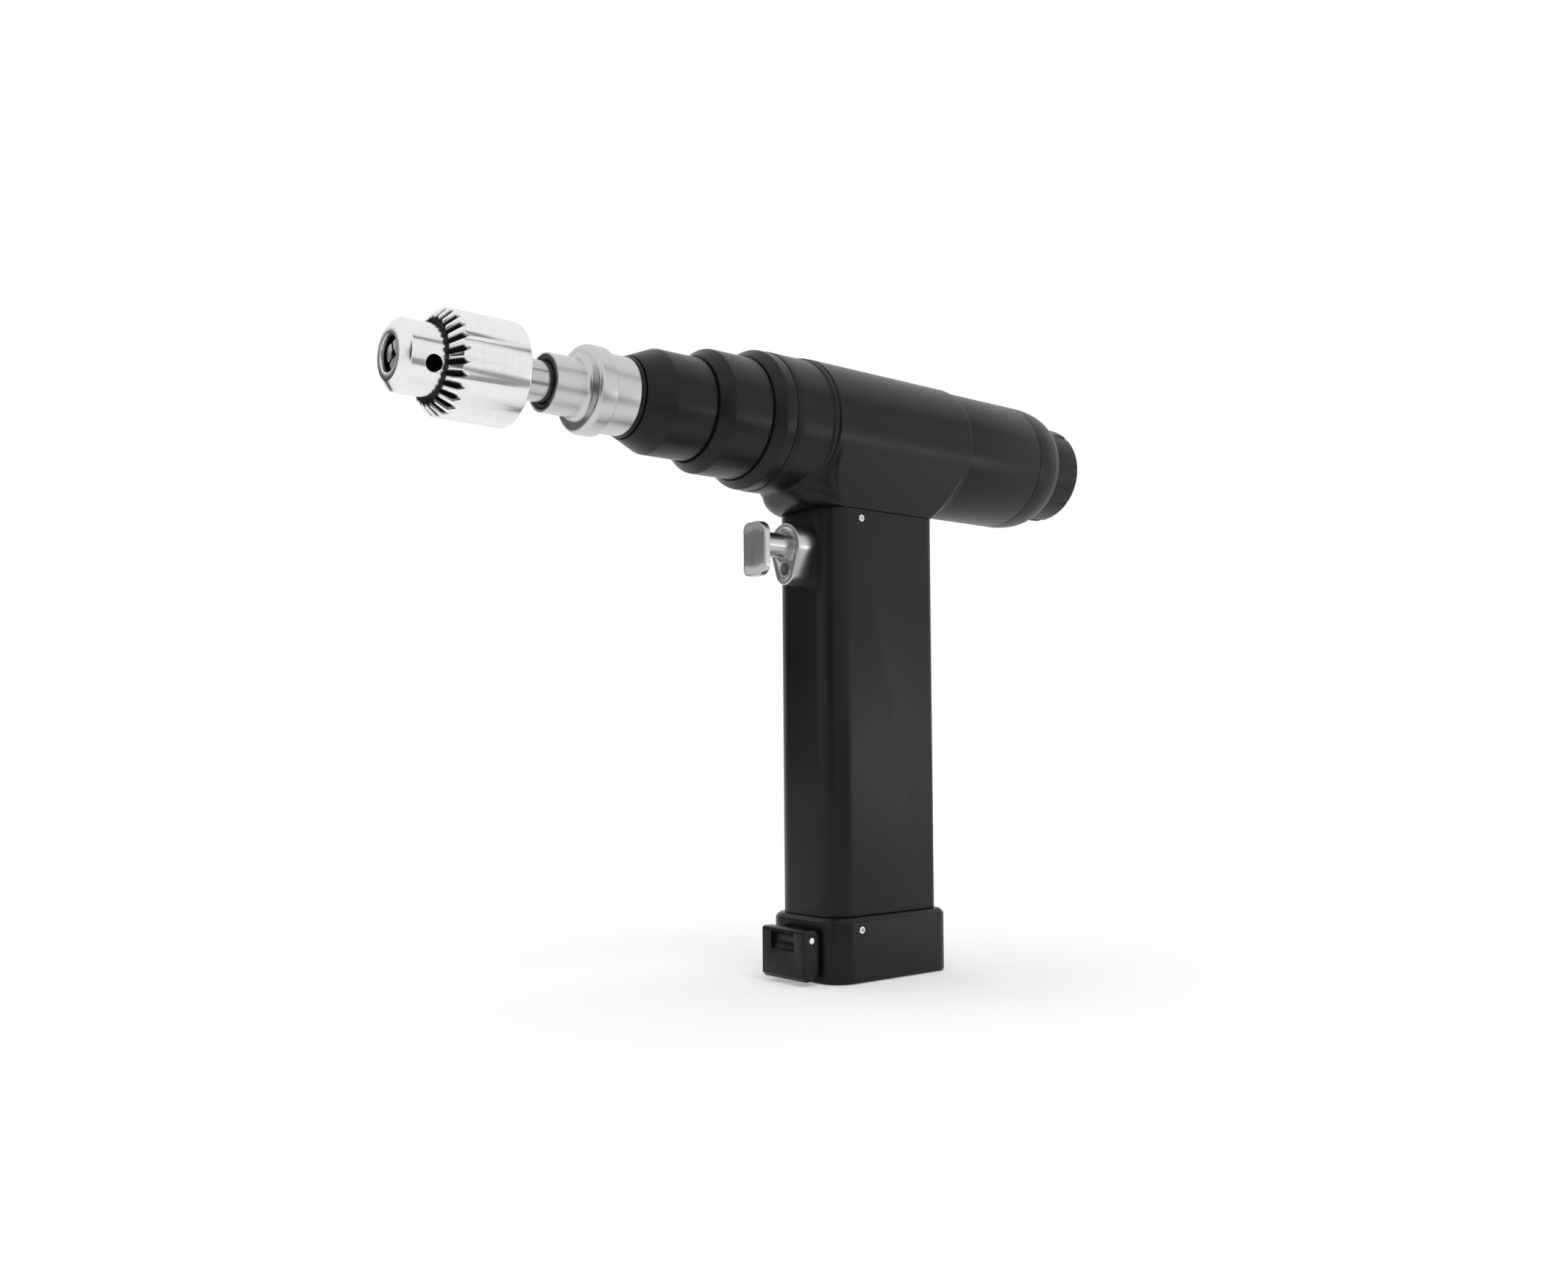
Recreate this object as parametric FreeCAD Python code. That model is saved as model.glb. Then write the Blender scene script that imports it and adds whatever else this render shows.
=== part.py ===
import FreeCAD, Part
import math
import os

# Pistol-grip battery surgical drill with a keyed three-jaw chuck.
# Millimetres. The origin is the centre of the base cap's underside, +Z is up,
# the chuck points along -X and the drill is symmetric about the XZ plane.

V = FreeCAD.Vector

# Fits
RUN = 0.05          # radial clearance of a turning or sliding fit
SEAT = 0.02         # radial clearance of a piece seated in its own body
GAP = 0.3           # air between pieces that move past each other

# Battery: its cells set the handle's section and height
CELL_R = 9.0
CELL_LENGTH = 50.0
CELL_LEVELS = 2
CELL_GAP = 1.2
CELL_NUB = 1.0
CELL_SIDE_CLEAR = 0.93
CELL_END_CLEAR = 0.78
CASE_SIDE_WALL = 1.2
CASE_END_WALL = 0.8
CASE_CLEAR = 0.45
CASE_HEAD = 7.3
CAP_FLOOR = 2.5
CASE_TOP = CAP_FLOOR + CELL_NUB + CELL_LEVELS * CELL_LENGTH + (CELL_LEVELS - 1) * CELL_GAP + CASE_HEAD
CONTACT_HEIGHT = 1.9
TERMINAL_FRONT = 9.7
TERMINAL_HEIGHT = 4.2

# Handle
HANDLE_WALL = 2.6
CASE_SETBACK = HANDLE_WALL + CASE_CLEAR + SEAT
HANDLE_FRONT = -22.7
HANDLE_REAR = HANDLE_FRONT + 4 * CELL_R + 0.2 + 2 * (CELL_END_CLEAR + CASE_END_WALL + CASE_SETBACK)
HANDLE_HALF = CELL_R + CELL_SIDE_CLEAR + CASE_SIDE_WALL + CASE_SETBACK
HANDLE_R_FRONT = 8.0
HANDLE_R_REAR = 3.5
HANDLE_BASE = 20.0
TRIGGER_ROOM = 34.3
HANDLE_TOP = CASE_TOP + TRIGGER_ROOM
SCREW_R = 1.15
HANDLE_SCREW_X = HANDLE_FRONT + 12.9
HANDLE_SCREW_Z = HANDLE_TOP - 2.8

# Drill axis
NECK_HEIGHT = 25.4
AXIS_Z = HANDLE_TOP + NECK_HEIGHT

# Chuck body
CHUCK_FRONT = -159.2
CHUCK_FACE_R = 6.76
CHUCK_NOSE_X = -157.2
CHUCK_NOSE_R = 9.4
CHUCK_MOUTH_R = 4.8
CHUCK_MOUTH_DEPTH = 2.6
CHUCK_OPEN_R = 3.2
CHUCK_THROAT_R = 1.9
CHUCK_FLANGE_R = 12.95
CHUCK_BOSS_R = 6.5
CHUCK_BOSS_REAR = -124.4
SLEEVE_REAR = -125.9

# Geared sleeve and its nut
SLEEVE_R = 14.0
CROWN_FRONT = -148.0
CROWN_FRONT_R = 11.6
CROWN_REAR = -145.6
CROWN_REAR_R = 13.75
CROWN_TEETH = 26
CROWN_DEPTH = 1.15
NUT_FRONT = -141.2
NUT_REAR = -134.2
NUT_R = 12.4

# Jaws, each a round bar in a bore that leans towards the mouth
JAW_COUNT = 3
JAW_R = 2.4
JAW_LEAN = 13.0
JAW_TIP = -157.9
JAW_AXIS_R = 1.5
JAW_LENGTH = 22.5
JAW_TRAVEL = 8.4
JAW_PARTING = 0.8
JAW_GRIP_R = 1.2
JAW_TURN = 19.3
THREAD_PITCH = 1.5
THREAD_DEPTH = 0.35

# Key holes in the chuck nose
KEY_R = 2.25
KEY_X = -151.0
KEY_BOTTOM_R = 4.75
CHUCK_OPEN_REAR = KEY_X + KEY_R + 1.25

# Head casing
HEAD_FRONT = -41.3
HEAD_R = 21.2
HEAD_WALL = 1.8
HEAD_BORE_R = HEAD_R - HEAD_WALL
HEAD_BLOCK_FRONT = -25.0
HEAD_BLOCK_R = HEAD_R + 0.6
HEAD_REAR = 33.5
TUBE_REAR = 69.0
WIRE_HOLE_R = 4.0

# Spindle and bearings
SPINDLE_R = 5.6
SPINDLE_NOSE_R = 3.8
SPINDLE_NOSE_X = -134.5
SHOULDER_R = 7.6
BEARING_FRONT = -83.6
BEARING_FRONT_R = 9.5
BEARING_REAR = -62.2
BEARING_REAR_R = 13.0
BEARING_W = 7.0

# Planetary stage, its module set by the ring gear that fills the head's bore
SUN_TEETH = 12
PLANET_TEETH = 18
RING_TEETH = 48
PLANET_COUNT = 3
ADDENDUM = 0.85
DEDENDUM = 1.25
RING_WALL = 1.705
GEAR_MODULE = (HEAD_BORE_R - SEAT - RING_WALL) / (RING_TEETH / 2 + DEDENDUM)
GEAR_FRONT = -41.6
GEAR_WIDTH = 8.4
RING_FRONT = -41.2
RING_WIDTH = 8.0
BACKLASH = 0.13
PRESSURE_ANGLE = 20.0
PIN_R = 1.5
PIN_REAR = -31.8
CARRIER_FRONT = -46.2
CARRIER_REAR = -42.8
CARRIER_RIM = 2.6

# Release collar on its fixed sleeve
COLLAR_FRONT = -115.0
COLLAR_TUBE_R = 8.1
COLLAR_TUBE_REAR = -106.5
COLLAR_FLANGE_R = 12.4
COLLAR_REAR = -98.2
COLLAR_TRAVEL = 4.0
SEAL_R = 7.5
SEAL_DEPTH = 2.4
FIXED_SLEEVE_R = 11.1
FIXED_SLEEVE_FRONT = -99.4
SPRING_POCKET_R = 9.9
COLLAR_SPRING_R = 8.6
COLLAR_WIRE = 0.9

# Nose cone and stepped rings
NOSE_FRONT = -90.1
NOSE_FRONT_R = 11.35
NOSE_CONE_REAR = -80.4
NOSE_R = 15.1
NOSE_REAR = -66.7
MID_R = 18.3
MID_FRONT_R = MID_R - 2.7
MID_CONE_REAR = -62.4
MID_REAR = -48.6
MID_SPIGOT_R = 12.6
REAR_RING_R = HEAD_R - 0.2
REAR_RING_FRONT_R = REAR_RING_R - 2.3
REAR_RING_CONE = -45.2
REAR_SPIGOT_R = 15.2

# Rear end cap and knob
DOME_START = 73.0
DOME_REAR = 84.0
KNOB_R = 16.6
KNOB_FRONT = 84.4
KNOB_REAR = 96.2
KNOB_WALL = 2.7
KNOB_NOTCHES = 8
KNOB_NOTCH_R = 1.7
KNOB_NOTCH_FRONT = 90.6
NECK_R = 12.5
NECK_WALL = 2.5

# Motor
MOTOR_FRONT = -17.0
MOTOR_REAR = 60.0
MOTOR_WALL = 1.5
STATOR_FRONT = -6.0
STATOR_REAR = 48.0
MAGNET_R = 9.9
STATOR_BORE_R = MAGNET_R + 0.7
SHAFT_R = 2.5
MOTOR_BEARING_R = 6.0

# Base cap
CAP_FRONT = HANDLE_FRONT - 1.8
CAP_REAR = HANDLE_REAR + 2.7
CAP_HALF = HANDLE_HALF + 2.4
CAP_R_FRONT = 8.0
CAP_R_REAR = 5.0
CAP_CHAMFER = 1.3
CAP_SCREW_X = CAP_FRONT + 11.0
CAP_SCREW_Z = HANDLE_BASE - 3.8

# Latch lever
HINGE_X = CAP_FRONT - 3.6
HINGE_Z = 13.5
HINGE_PIN_R = 1.05
LATCH_EAR_R = 3.3
LATCH_FRONT = HINGE_X - 3.5
LATCH_HALF = 9.8
LATCH_BASE = 1.2
LATCH_TOP = HINGE_Z + LATCH_EAR_R
LUG_R = 2.1
LUG_ROOT_TOP = 0.45
LUG_IN = 5.9
LUG_OUT = 7.5
RECESS_HALF = 5.4
RECESS_R = 3.1

# Trigger
TRIGGER_TRAVEL = 6.0
ESC_FRONT = HANDLE_FRONT - 6.8
ESC_BIG_R = 6.9
ESC_BIG_Z = HANDLE_TOP - 11.3
ESC_SMALL_R = 4.4
ESC_SMALL_Z = ESC_BIG_Z - 8.0
ESC_SEAT = 1.2
STEM_R = 3.8
STEM_Z = ESC_BIG_Z - 0.4
BUSH_WALL = 1.25
BUSH_R = STEM_R + RUN + BUSH_WALL
BUSH_REAR = HANDLE_FRONT + 2.9
LOCK_HOLE_R = 2.05
LOCK_HOLE_Z = ESC_SMALL_Z + 0.5
PAD_THICK = 2.9
PAD_REAR = ESC_FRONT - TRIGGER_TRAVEL - 4.0
PAD_FRONT = PAD_REAR - PAD_THICK
PAD_HALF = 5.4
PAD_LOW = STEM_Z - 10.2
PAD_HIGH = STEM_Z + 6.4
PAD_SCOOP_R = 26.0
TAIL_REAR = BUSH_REAR + 4.0
SWITCH_BUTTON = 1.0
SWITCH_FRONT = TAIL_REAR + TRIGGER_TRAVEL + 0.4 + SWITCH_BUTTON
SWITCH_DEPTH = 11.9
SWITCH_LOW = STEM_Z - 8.1
SWITCH_HIGH = STEM_Z + 7.4
TRIGGER_WIRE = 0.7

# Controller board
BOARD_FRONT = HANDLE_REAR - 14.8
BOARD_THICK = 1.6
BOARD_LOW = CASE_TOP + 7.5
BOARD_HIGH = HANDLE_TOP - 2.3


def at(x, r, deg=90.0):
    """Point at x, radius r and angle deg about the drill axis, from +Y towards +Z."""
    a = math.radians(deg)
    return V(x, r * math.cos(a), AXIS_Z + r * math.sin(a))


def turned(path):
    """Solid turned about the drill axis.

    The path lists (x, r) corners, or ((x, r), (x, r)) for an arc's middle and end.
    """
    edges = []
    here = path[0]
    for step in list(path[1:]) + [path[0]]:
        if isinstance(step[0], tuple):
            middle, end = step
            edges.append(Part.Arc(at(*here), at(*middle), at(*end)).toShape())
        else:
            end = step
            edges.append(Part.makeLine(at(*here), at(*end)))
        here = end
    return Part.Face(Part.Wire(edges)).revolve(V(0, 0, AXIS_Z), V(1, 0, 0), 360)


def rod_x(r, x0, x1, z=AXIS_Z, y=0.0):
    """Round bar along X."""
    return Part.makeCylinder(r, x1 - x0, V(x0, y, z), V(1, 0, 0))


def ring_x(r_in, r_out, x0, x1, z=AXIS_Z, y=0.0):
    """Plain ring along X."""
    return rod_x(r_out, x0, x1, z, y).cut(rod_x(r_in, x0 - 1, x1 + 1, z, y))


def block(x0, x1, y0, y1, z0, z1):
    """Box between two corners."""
    return Part.makeBox(x1 - x0, y1 - y0, z1 - z0, V(x0, y0, z0))


def plan(x0, x1, half, r_front, r_rear, z):
    """Closed wire at height z: a rectangle with its own front and rear corner radii."""
    k = math.sqrt(0.5)
    spans = []

    def corner(cx, cy, r, sx, sy):
        """Corner arc's start, middle and end, from the Y side to the X side."""
        return (V(cx, cy + sy * r, z), V(cx + sx * k * r, cy + sy * k * r, z), V(cx + sx * r, cy, z))

    rear_low = corner(x1 - r_rear, -half + r_rear, r_rear, 1, -1)
    rear_high = corner(x1 - r_rear, half - r_rear, r_rear, 1, 1)
    front_high = corner(x0 + r_front, half - r_front, r_front, -1, 1)
    front_low = corner(x0 + r_front, -half + r_front, r_front, -1, -1)
    spans.append(Part.makeLine(front_low[0], rear_low[0]))
    spans.append(Part.Arc(*rear_low).toShape())
    spans.append(Part.makeLine(rear_low[2], rear_high[2]))
    spans.append(Part.Arc(*rear_high[::-1]).toShape())
    spans.append(Part.makeLine(rear_high[0], front_high[0]))
    spans.append(Part.Arc(*front_high).toShape())
    spans.append(Part.makeLine(front_high[2], front_low[2]))
    spans.append(Part.Arc(*front_low[::-1]).toShape())
    return Part.Wire(spans)


def column(x0, x1, half, r_front, r_rear, z0, z1):
    """Upright bar with a rounded plan."""
    face = Part.Face(plan(x0, x1, half, r_front, r_rear, z0))
    return face.extrude(V(0, 0, z1 - z0))


def egg(x0, x1, shrink=0.0):
    """Bar along X with the trigger plate's outline: a large round over a small one."""
    big = ESC_BIG_R - shrink
    small = ESC_SMALL_R - shrink
    nz = (small - big) / (ESC_BIG_Z - ESC_SMALL_Z)
    ny = math.sqrt(1 - nz * nz)
    right_top = V(x0, ny * big, ESC_BIG_Z + nz * big)
    left_top = V(x0, -ny * big, ESC_BIG_Z + nz * big)
    right_low = V(x0, ny * small, ESC_SMALL_Z + nz * small)
    left_low = V(x0, -ny * small, ESC_SMALL_Z + nz * small)
    top = Part.Arc(right_top, V(x0, 0, ESC_BIG_Z + big), left_top).toShape()
    left = Part.makeLine(left_top, left_low)
    low = Part.Arc(left_low, V(x0, 0, ESC_SMALL_Z - small), right_low).toShape()
    right = Part.makeLine(right_low, right_top)
    return Part.Face(Part.Wire([top, left, low, right])).extrude(V(x1 - x0, 0, 0))


def spun(shape, deg):
    """Copy of a shape turned about the drill axis."""
    copy = shape.copy()
    copy.rotate(V(0, 0, AXIS_Z), V(1, 0, 0), deg)
    return copy


def coil(x0, x1, mean_r, wire, turns, z):
    """Compression spring along X, of square wire, on the axis at height z."""
    pitch = (x1 - x0 - wire) / turns
    helix = Part.makeHelix(pitch, pitch * turns, mean_r)
    h = wire / 2
    corners = [V(mean_r - h, 0, -h), V(mean_r + h, 0, -h), V(mean_r + h, 0, h), V(mean_r - h, 0, h)]
    section = Part.makePolygon(corners + [corners[0]])
    pipe = Part.Wire(helix.Edges).makePipeShell([section], True, True)
    pipe.rotate(V(0, 0, 0), V(0, 1, 0), 90)
    pipe.translate(V(x0 + h, 0, z))
    return pipe


def countersunk(x, z, y, side):
    """Small screw head let into a side face, with a hexagon socket."""
    head = Part.makeCylinder(SCREW_R, 1.6, V(x, y - side * 1.5, z), V(0, side, 0))
    key = []
    for i in range(7):
        a = math.radians(60 * i)
        key.append(V(x + 0.62 * math.cos(a), y - side * 0.6, z + 0.62 * math.sin(a)))
    socket = Part.Face(Part.makePolygon(key)).extrude(V(0, side * 2, 0))
    return head.cut(socket)


def involute_half_angle(r, pitch_r, half_at_pitch):
    """Half the angle that a tooth spans at radius r."""
    base_r = pitch_r * math.cos(math.radians(PRESSURE_ANGLE))
    at_pitch = math.radians(PRESSURE_ANGLE)
    a = math.acos(min(1.0, base_r / r))
    return half_at_pitch + (math.tan(at_pitch) - at_pitch) - (math.tan(a) - a)


def gear_outline(teeth, r_low, r_high, half_width, first_deg, x, y, z):
    """Closed outline of a spur gear with involute flanks, one tooth at first_deg."""
    pitch_r = GEAR_MODULE * teeth / 2
    half_at_pitch = half_width / pitch_r
    base_r = pitch_r * math.cos(math.radians(PRESSURE_ANGLE))
    start = max(r_low, base_r)
    radii = [r_low] if r_low < base_r else []
    radii += [start, (start + r_high) / 2, r_high]
    points = []
    for i in range(teeth):
        centre = math.radians(first_deg + 360.0 * i / teeth)
        flank = [(r, involute_half_angle(max(r, base_r), pitch_r, half_at_pitch)) for r in radii]
        for r, half in flank:
            points.append((r, centre - half))
        for r, half in reversed(flank):
            points.append((r, centre + half))
    corners = [V(x, y + r * math.cos(a), z + r * math.sin(a)) for r, a in points]
    return Part.makePolygon(corners + [corners[0]])


def spur(teeth, first_deg, x0, width, y, z, bore_r):
    """External spur gear with a bore."""
    pitch_r = GEAR_MODULE * teeth / 2
    half = (math.pi * GEAR_MODULE / 2 - BACKLASH) / 2
    low = pitch_r - DEDENDUM * GEAR_MODULE
    high = pitch_r + ADDENDUM * GEAR_MODULE
    outline = gear_outline(teeth, low, high, half, first_deg, x0, y, z)
    body = Part.Face(outline).extrude(V(width, 0, 0))
    return body.cut(rod_x(bore_r, x0 - 1, x0 + width + 1, z, y))


def planet_angles():
    """Angles of the planets about the drill axis."""
    return [90.0 + 360.0 * i / PLANET_COUNT for i in range(PLANET_COUNT)]


def planet_centre_r():
    """Distance from the drill axis to a planet's axis."""
    return GEAR_MODULE * (SUN_TEETH + PLANET_TEETH) / 2


def planet_reach():
    """Farthest that a planet's teeth come from the drill axis."""
    return planet_centre_r() + GEAR_MODULE * (PLANET_TEETH / 2 + ADDENDUM)


def planet_yz(deg):
    """Y and Z of a planet's axis."""
    p = at(0, planet_centre_r(), deg)
    return p.y, p.z


def jaw_angles():
    """Angles of the jaws about the drill axis, midway between the key holes."""
    return [JAW_TURN + 360.0 * i / JAW_COUNT for i in range(JAW_COUNT)]


def key_angles():
    """Angles of the key holes about the drill axis."""
    return [a + 180.0 for a in jaw_angles()]


def jaw_axis(deg):
    """Unit vector along a jaw's bore, towards the mouth and the drill axis."""
    lean = math.radians(JAW_LEAN)
    a = math.radians(deg)
    return V(-math.cos(lean), -math.sin(lean) * math.cos(a), -math.sin(lean) * math.sin(a))


def jaw_bar(deg, r, front, back):
    """Round bar on a jaw's bore axis, reaching front and back of the jaw's tip."""
    axis = jaw_axis(deg)
    tip = at(JAW_TIP, JAW_AXIS_R, deg)
    start = tip - axis * back
    return Part.makeCylinder(r, front + back, start, axis)


def chuck_body():
    """Chuck body: nose, stepped throat, jaw bores, key holes, nut groove, flange and boss."""
    nose_in = CHUCK_FRONT + CHUCK_MOUTH_DEPTH
    outer = turned([
        (CHUCK_FRONT, CHUCK_MOUTH_R), (CHUCK_FRONT, CHUCK_FACE_R), (CHUCK_NOSE_X, CHUCK_NOSE_R),
        (NUT_FRONT - GAP, CHUCK_NOSE_R), (NUT_FRONT - GAP, CHUCK_NOSE_R - 2.4),
        (NUT_REAR + GAP, CHUCK_NOSE_R - 2.4), (NUT_REAR + GAP, CHUCK_FLANGE_R),
        (SLEEVE_REAR - 0.4, CHUCK_FLANGE_R), (SLEEVE_REAR - 0.4, CHUCK_BOSS_R),
        (CHUCK_BOSS_REAR, CHUCK_BOSS_R), (CHUCK_BOSS_REAR, SPINDLE_NOSE_R + SEAT),
        (SPINDLE_NOSE_X - 0.5, SPINDLE_NOSE_R + SEAT), (SPINDLE_NOSE_X - 0.5, CHUCK_THROAT_R),
        (CHUCK_OPEN_REAR, CHUCK_THROAT_R), (CHUCK_OPEN_REAR, CHUCK_OPEN_R), (nose_in, CHUCK_OPEN_R),
        (nose_in, CHUCK_MOUTH_R)])
    for deg in jaw_angles():
        outer = outer.cut(jaw_bar(deg, JAW_R + RUN, 4.0, JAW_LENGTH + JAW_TRAVEL + 0.4))
    for deg in key_angles():
        way = at(0, 1, deg) - at(0, 0, deg)
        outer = outer.cut(Part.makeCylinder(KEY_R, CHUCK_NOSE_R, at(KEY_X, KEY_BOTTOM_R, deg), way))
    return outer


def chuck_jaw(deg):
    """One jaw: a leaning bar with a squared tip, two parting faces and a thread on its back."""
    bar = jaw_bar(deg, JAW_R, 3.0, JAW_LENGTH)
    bar = bar.cut(rod_x(SLEEVE_R, JAW_TIP - 10, JAW_TIP))
    bar = bar.cut(rod_x(JAW_GRIP_R, JAW_TIP - 5, 0))
    for side in (-1, 1):
        slab = block(JAW_TIP - 5, 0, 0, 30, AXIS_Z - JAW_PARTING / 2, AXIS_Z + 30)
        if side < 0:
            slab = block(JAW_TIP - 5, 0, 0, 30, AXIS_Z - 30, AXIS_Z + JAW_PARTING / 2)
        bar = bar.cut(spun(slab, deg + side * 60))
    return bar.cut(jaw_thread_cutter(deg))


def jaw_thread_cutter(deg):
    """Grooves across the back of a jaw, one per thread, where the nut drives it."""
    axis = jaw_axis(deg)
    a = math.radians(deg)
    lean = math.radians(JAW_LEAN)
    out = V(-math.sin(lean), math.cos(lean) * math.cos(a), math.cos(lean) * math.sin(a))
    side = V(0, -math.sin(a), math.cos(a))
    tip = at(JAW_TIP, JAW_AXIS_R, deg)
    cuts = []
    for i in range(6):
        back = JAW_LENGTH - 1.2 - i * THREAD_PITCH
        low = tip - axis * back + out * (JAW_R - THREAD_DEPTH) - side * 3
        corners = [low - axis * 0.1, low + axis * 0.1, low + axis * 0.5 + out * 1.0,
            low - axis * 0.5 + out * 1.0]
        face = Part.Face(Part.makePolygon(corners + [corners[0]]))
        cuts.append(face.extrude(side * 6))
    return Part.makeCompound(cuts)


def crown_cutter():
    """One valley of the crown teeth: a tapered trough lying along the front cone."""
    run = V(CROWN_REAR - CROWN_FRONT, 0, CROWN_REAR_R - CROWN_FRONT_R)
    way = run * (1.0 / run.Length)
    out = V(-way.z, 0, way.x)
    start = V(CROWN_FRONT, 0, AXIS_Z + CROWN_FRONT_R) - out * CROWN_DEPTH - way * 4
    low = 0.28
    high = 1.75
    tall = 2.6
    corners = [start + V(0, -low, 0), start + V(0, low, 0),
               start + V(0, high, 0) + out * tall, start + V(0, -high, 0) + out * tall]
    return Part.Face(Part.makePolygon(corners + [corners[0]])).extrude(way * 12)


def chuck_sleeve():
    """Turning sleeve with crown teeth for the chuck key."""
    sleeve = turned([
        (CROWN_FRONT, CHUCK_NOSE_R + RUN), (CROWN_FRONT, CROWN_FRONT_R), (CROWN_REAR, CROWN_REAR_R),
        (CROWN_REAR + 0.25, SLEEVE_R), (SLEEVE_REAR - 0.4, SLEEVE_R), (SLEEVE_REAR, SLEEVE_R - 0.4),
        (SLEEVE_REAR, CHUCK_FLANGE_R + RUN), (NUT_REAR, CHUCK_FLANGE_R + RUN), (NUT_REAR, NUT_R + SEAT),
        (NUT_FRONT - 0.1, NUT_R + SEAT), (NUT_FRONT - 0.1, CHUCK_NOSE_R + RUN)])
    cutter = crown_cutter()
    step = 360.0 / CROWN_TEETH
    valleys = [spun(cutter, step * (i + 0.5)) for i in range(CROWN_TEETH)]
    return sleeve.cut(Part.makeCompound(valleys))


def chuck_nut():
    """Ring nut pressed in the sleeve, its bore coned to follow the jaws."""
    slope = math.tan(math.radians(JAW_LEAN))
    reach = JAW_AXIS_R + JAW_R / math.cos(math.radians(JAW_LEAN)) + GAP

    def bore(x):
        """Bore radius at x."""
        return reach + (x - JAW_TIP) * slope

    return turned([(NUT_FRONT, bore(NUT_FRONT)), (NUT_FRONT, NUT_R), (NUT_REAR, NUT_R),
        (NUT_REAR, bore(NUT_REAR))])


def output_spindle():
    """Output spindle with the planet carrier on its rear end."""
    carrier_r = planet_centre_r() + PIN_R + CARRIER_RIM
    body = turned([
        (SPINDLE_NOSE_X, 0), (SPINDLE_NOSE_X, SPINDLE_NOSE_R - 0.6), (SPINDLE_NOSE_X + 0.6, SPINDLE_NOSE_R),
        (CHUCK_BOSS_REAR, SPINDLE_NOSE_R), (CHUCK_BOSS_REAR, SPINDLE_R),
        (BEARING_REAR + BEARING_W + GAP, SPINDLE_R), (BEARING_REAR + BEARING_W + GAP, SHOULDER_R),
        (CARRIER_FRONT, SHOULDER_R), (CARRIER_FRONT, carrier_r), (CARRIER_REAR, carrier_r),
        (CARRIER_REAR, 0)])
    for deg in planet_angles():
        y, z = planet_yz(deg)
        body = body.cut(rod_x(PIN_R + SEAT, CARRIER_FRONT - 1, CARRIER_REAR + 1, z, y))
    return body


def planet_pins():
    """Pins that carry the planets, with heads at the rear."""
    pins = []
    for deg in planet_angles():
        y, z = planet_yz(deg)
        pin = rod_x(PIN_R, CARRIER_FRONT, PIN_REAR, z, y)
        pins.append(pin.fuse(rod_x(PIN_R + 1.0, PIN_REAR - 1.0, PIN_REAR, z, y)).removeSplitter())
    return Part.makeCompound(pins)


def planet_gear(deg):
    """One planet in mesh with the sun and the ring."""
    y, z = planet_yz(deg)
    half_pitch = 180.0 / PLANET_TEETH
    return spur(PLANET_TEETH, deg + 180.0 + half_pitch, GEAR_FRONT, GEAR_WIDTH, y, z, PIN_R + RUN)


def sun_gear():
    """Sun pinion on the motor shaft."""
    return spur(SUN_TEETH, planet_angles()[0], GEAR_FRONT, GEAR_WIDTH + 0.6, 0, AXIS_Z, SHAFT_R - 0.5 + SEAT)


def ring_gear():
    """Internal ring gear seated in the head casing."""
    pitch_r = GEAR_MODULE * RING_TEETH / 2
    half = (math.pi * GEAR_MODULE / 2 + BACKLASH) / 2
    first = planet_angles()[0] + 180.0 / RING_TEETH
    hole = gear_outline(RING_TEETH, pitch_r - ADDENDUM * GEAR_MODULE, pitch_r + DEDENDUM * GEAR_MODULE, half,
                        first, RING_FRONT - 1, 0, AXIS_Z)
    cut = Part.Face(hole).extrude(V(RING_WIDTH + 2, 0, 0))
    return rod_x(HEAD_BORE_R - SEAT, RING_FRONT, RING_FRONT + RING_WIDTH).cut(cut)


def bearing(x0, r_in, r_out):
    """Sealed ball bearing as one ring, with a shield groove in each face."""
    mid_in = r_in + 0.35 * (r_out - r_in)
    mid_out = r_in + 0.65 * (r_out - r_in)
    return turned([
        (x0, r_in), (x0, mid_in), (x0 + 0.4, mid_in), (x0 + 0.4, mid_out), (x0, mid_out), (x0, r_out),
        (x0 + BEARING_W, r_out), (x0 + BEARING_W, mid_out), (x0 + BEARING_W - 0.4, mid_out),
        (x0 + BEARING_W - 0.4, mid_in), (x0 + BEARING_W, mid_in), (x0 + BEARING_W, r_in)])


def spindle_bearings():
    """The two bearings that carry the spindle."""
    front = bearing(BEARING_FRONT, SPINDLE_R + RUN, BEARING_FRONT_R)
    rear = bearing(BEARING_REAR, SPINDLE_R + RUN, BEARING_REAR_R)
    return Part.makeCompound([front, rear])


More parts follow.
